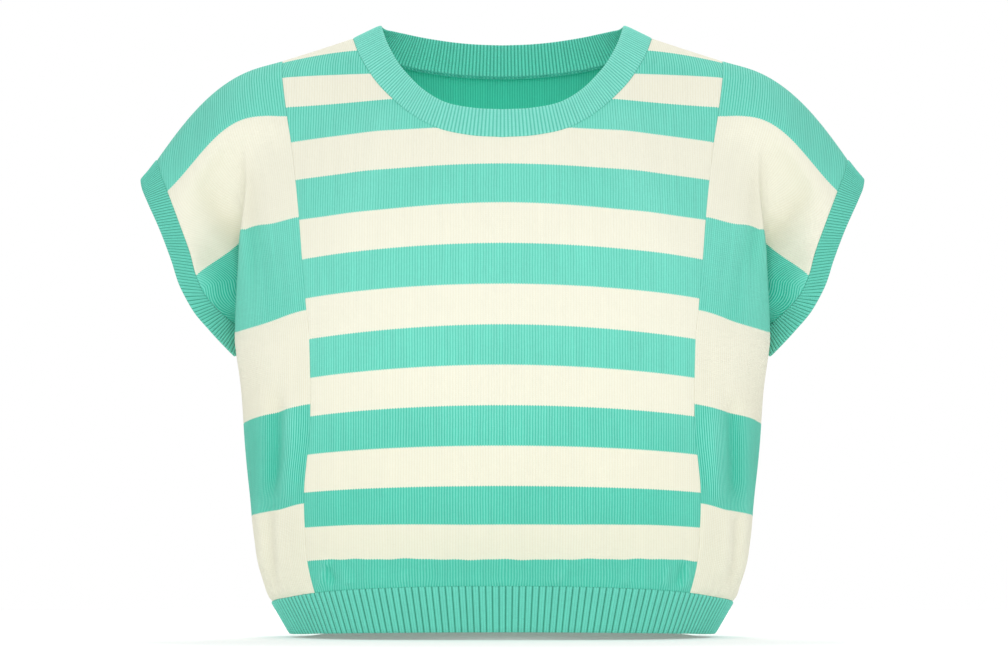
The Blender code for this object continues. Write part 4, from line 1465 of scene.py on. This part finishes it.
# %% Flat sizes
for piece, flat, share in (
        (centre, (0.352, 0.416), 0.86), (sides[0], (0.150, 0.424), 0.80),
        (sides[1], (0.150, 0.424), 0.80), (back, (0.620, 0.424), 0.80)):
    print(piece.name, "area now", round(cloth_area(piece), 4), "flat",
          round(flat[0] * flat[1] * share, 4))
for piece, flat, parts in (
        (neckband, (0.60, 0.024), [linking]), (hem, (0.87, 0.035), []),
        (cuffs[0], (0.36, 0.018), []), (cuffs[1], (0.36, 0.018), [])):
    print(piece.name, "area now", round(cloth_area(piece), 4), "flat",
          round(flat[0] * flat[1], 4))

# %% [markdown]
# ## Floor, light and camera
#
# The photo is lit from all round, as clothing pictures are: hardly a shadow on the
# garment, and a thin dark line under the hem. The floor is white paper that shines
# a little, which keeps that line soft. Seen almost from the floor, one would look
# through the gap under the front of the hem into the dark of the body, so a low
# pale dome stands inside the hem.

# %% Floor
def matt(name, roughness, glow):
    """A pale matt finish that shines a little itself, which softens its shadows."""
    made = bpy.data.materials.new(name)
    made.use_nodes = True
    shader = made.node_tree.nodes["Principled BSDF"]
    shader.inputs["Base Color"].default_value = (0.80, 0.80, 0.80, 1.0)
    shader.inputs["Emission Color"].default_value = (1.0, 1.0, 1.0, 1.0)
    shader.inputs["Emission Strength"].default_value = glow
    shader.inputs["Roughness"].default_value = roughness
    shader.inputs["Specular IOR Level"].default_value = 0.0
    return made


def stage_piece(name, points, faces, look):
    """A mesh that stands on the floor and isn't part of the garment."""
    mesh = bpy.data.meshes.new(name)
    mesh.from_pydata(points, [], faces)
    mesh.materials.append(look)
    piece = bpy.data.objects.new(name, mesh)
    piece.location.z = HEM_Z * MM - FLOOR_GAP
    bpy.context.scene.collection.objects.link(piece)
    return piece


FLOOR_RADIUS, FLOOR_GAP = 1.25, 0.0012         # m, and m below the hem
CORNERS = 96
around = np.linspace(0, 2 * np.pi, CORNERS, endpoint=False)
stage_piece("floor", [(FLOOR_RADIUS * math.cos(a), FLOOR_RADIUS * math.sin(a), 0)
                      for a in around], [tuple(range(CORNERS))],
            matt("white_paper", 0.9, 0.27))
print("floor", 2 * FLOOR_RADIUS, "m across")

# %% Dome inside the hem
DOME_RINGS = (1.0, 0.96, 0.9, 0.82, 0.72, 0.6, 0.45)     # shares of its outline
DOME_WIDE, DOME_DEEP, DOME_TALL, DOME_PLACE = 0.153, 0.084, 0.0066, -0.002      # m
points = [(DOME_WIDE * r * math.cos(a), DOME_DEEP * r * math.sin(a) + DOME_PLACE,
           DOME_TALL * (1.0 - r ** 4)) for r in DOME_RINGS for a in around]
top = CORNERS * (len(DOME_RINGS) - 1)
faces = [tuple(range(top, top + CORNERS))] + [
    (start + k, start + (k + 1) % CORNERS, start + CORNERS + (k + 1) % CORNERS,
     start + CORNERS + k) for start in range(0, top, CORNERS) for k in range(CORNERS)]
dome = stage_piece("dome_under_cloth", points, faces, matt("pale_felt", 1.0, 0.2))
dome.data.shade_smooth()
print("dome", DOME_TALL / MM, "mm tall")

# %% [markdown]
# ### Light from all round
#
# A white world gives most of the light, and the camera sees it as pure white
# paper. A large lamp in front gives the folds and ribs their form, two smaller
# ones fill in the sleeves, and one above and one behind keep the shoulders and
# the back clear. Real knit lets some light through, which a closed mesh doesn't,
# so a faint mint lamp inside the body lights the cloth behind the neck. It could
# be done with a translucent shader, but that would need far more samples.

# %% World
world = bpy.data.worlds.new("white_studio")
bpy.context.scene.world = world
world.use_nodes = True
nodes, links = world.node_tree.nodes, world.node_tree.links
light = nodes["Background"]
light.inputs["Color"].default_value = (1.0, 1.0, 1.0, 1.0)
light.inputs["Strength"].default_value = 0.6
backdrop = nodes.new("ShaderNodeBackground")
backdrop.inputs["Color"].default_value = (1.0, 1.0, 1.0, 1.0)
backdrop.inputs["Strength"].default_value = 1.0
seen = nodes.new("ShaderNodeLightPath")
mix = nodes.new("ShaderNodeMixShader")
links.new(seen.outputs["Is Camera Ray"], mix.inputs[0])
links.new(light.outputs[0], mix.inputs[1])
links.new(backdrop.outputs[0], mix.inputs[2])
links.new(mix.outputs[0], nodes["World Output"].inputs["Surface"])
print("world lights with", round(light.inputs["Strength"].default_value, 2))

# %% Lamps
BODY_MIDDLE = (0, 0, -0.23)
LAMPS = (  # name, place, size, power
    ("lamp_front", (0.0, -2.7, 0.6), 2.2, 35.5),
    ("lamp_side_left", (2.4, -1.0, 0.9), 1.4, 6.0),
    ("lamp_side_right", (-2.4, -1.0, 0.9), 1.4, 6.0),
    ("lamp_top", (0.0, 1.2, 2.1), 1.2, 27.0),
    ("lamp_back", (0.2, 2.7, 0.5), 2.0, 20.0),
)


def hang_lamp(name, place, size, power, target):
    """A round area lamp that faces its target."""
    data = bpy.data.lights.new(name, "AREA")
    data.shape, data.size, data.energy = "DISK", size, power
    lamp = bpy.data.objects.new(name, data)
    lamp.location = place
    aim = Vector(target) - lamp.location
    lamp.rotation_euler = aim.to_track_quat("-Z", "Y").to_euler()
    bpy.context.scene.collection.objects.link(lamp)
    return lamp


for lamp in LAMPS:
    hang_lamp(*lamp, BODY_MIDDLE)
glow = hang_lamp("glow_through_cloth", (0.0, 0.0, -0.13), 0.14, 0.085, (0, 0.085, -0.02))
glow.data.color = (0.08, 1.0, 0.83)
glow.visible_camera = False
bpy.context.scene.view_settings.view_transform = "Standard"
print(len(LAMPS), "lamps outside and a glow inside")

# %% [markdown]
# ### The camera
#
# The stripes bow upwards and the floor shows as a line, so the photo was taken
# from low down, a little above the floor, with a long lens tilted up.

# %% Camera
CAMERA_PLACE, CAMERA_AIM = (0.0012, -2.4, -0.396), (0.0012, 0.0, -0.2265)
camera_data = bpy.data.cameras.new("camera")
camera_data.lens, camera_data.sensor_width = 111.6, 36.0
camera = bpy.data.objects.new("camera", camera_data)
camera.location = CAMERA_PLACE
aim = Vector(CAMERA_AIM) - camera.location
camera.rotation_euler = aim.to_track_quat("-Z", "Y").to_euler()
bpy.context.scene.collection.objects.link(camera)
bpy.context.scene.camera = camera
print("camera", round(aim.length, 2), "m away, tilted up", round(
    math.degrees(math.atan2(aim.z, aim.y)), 1), "degrees")
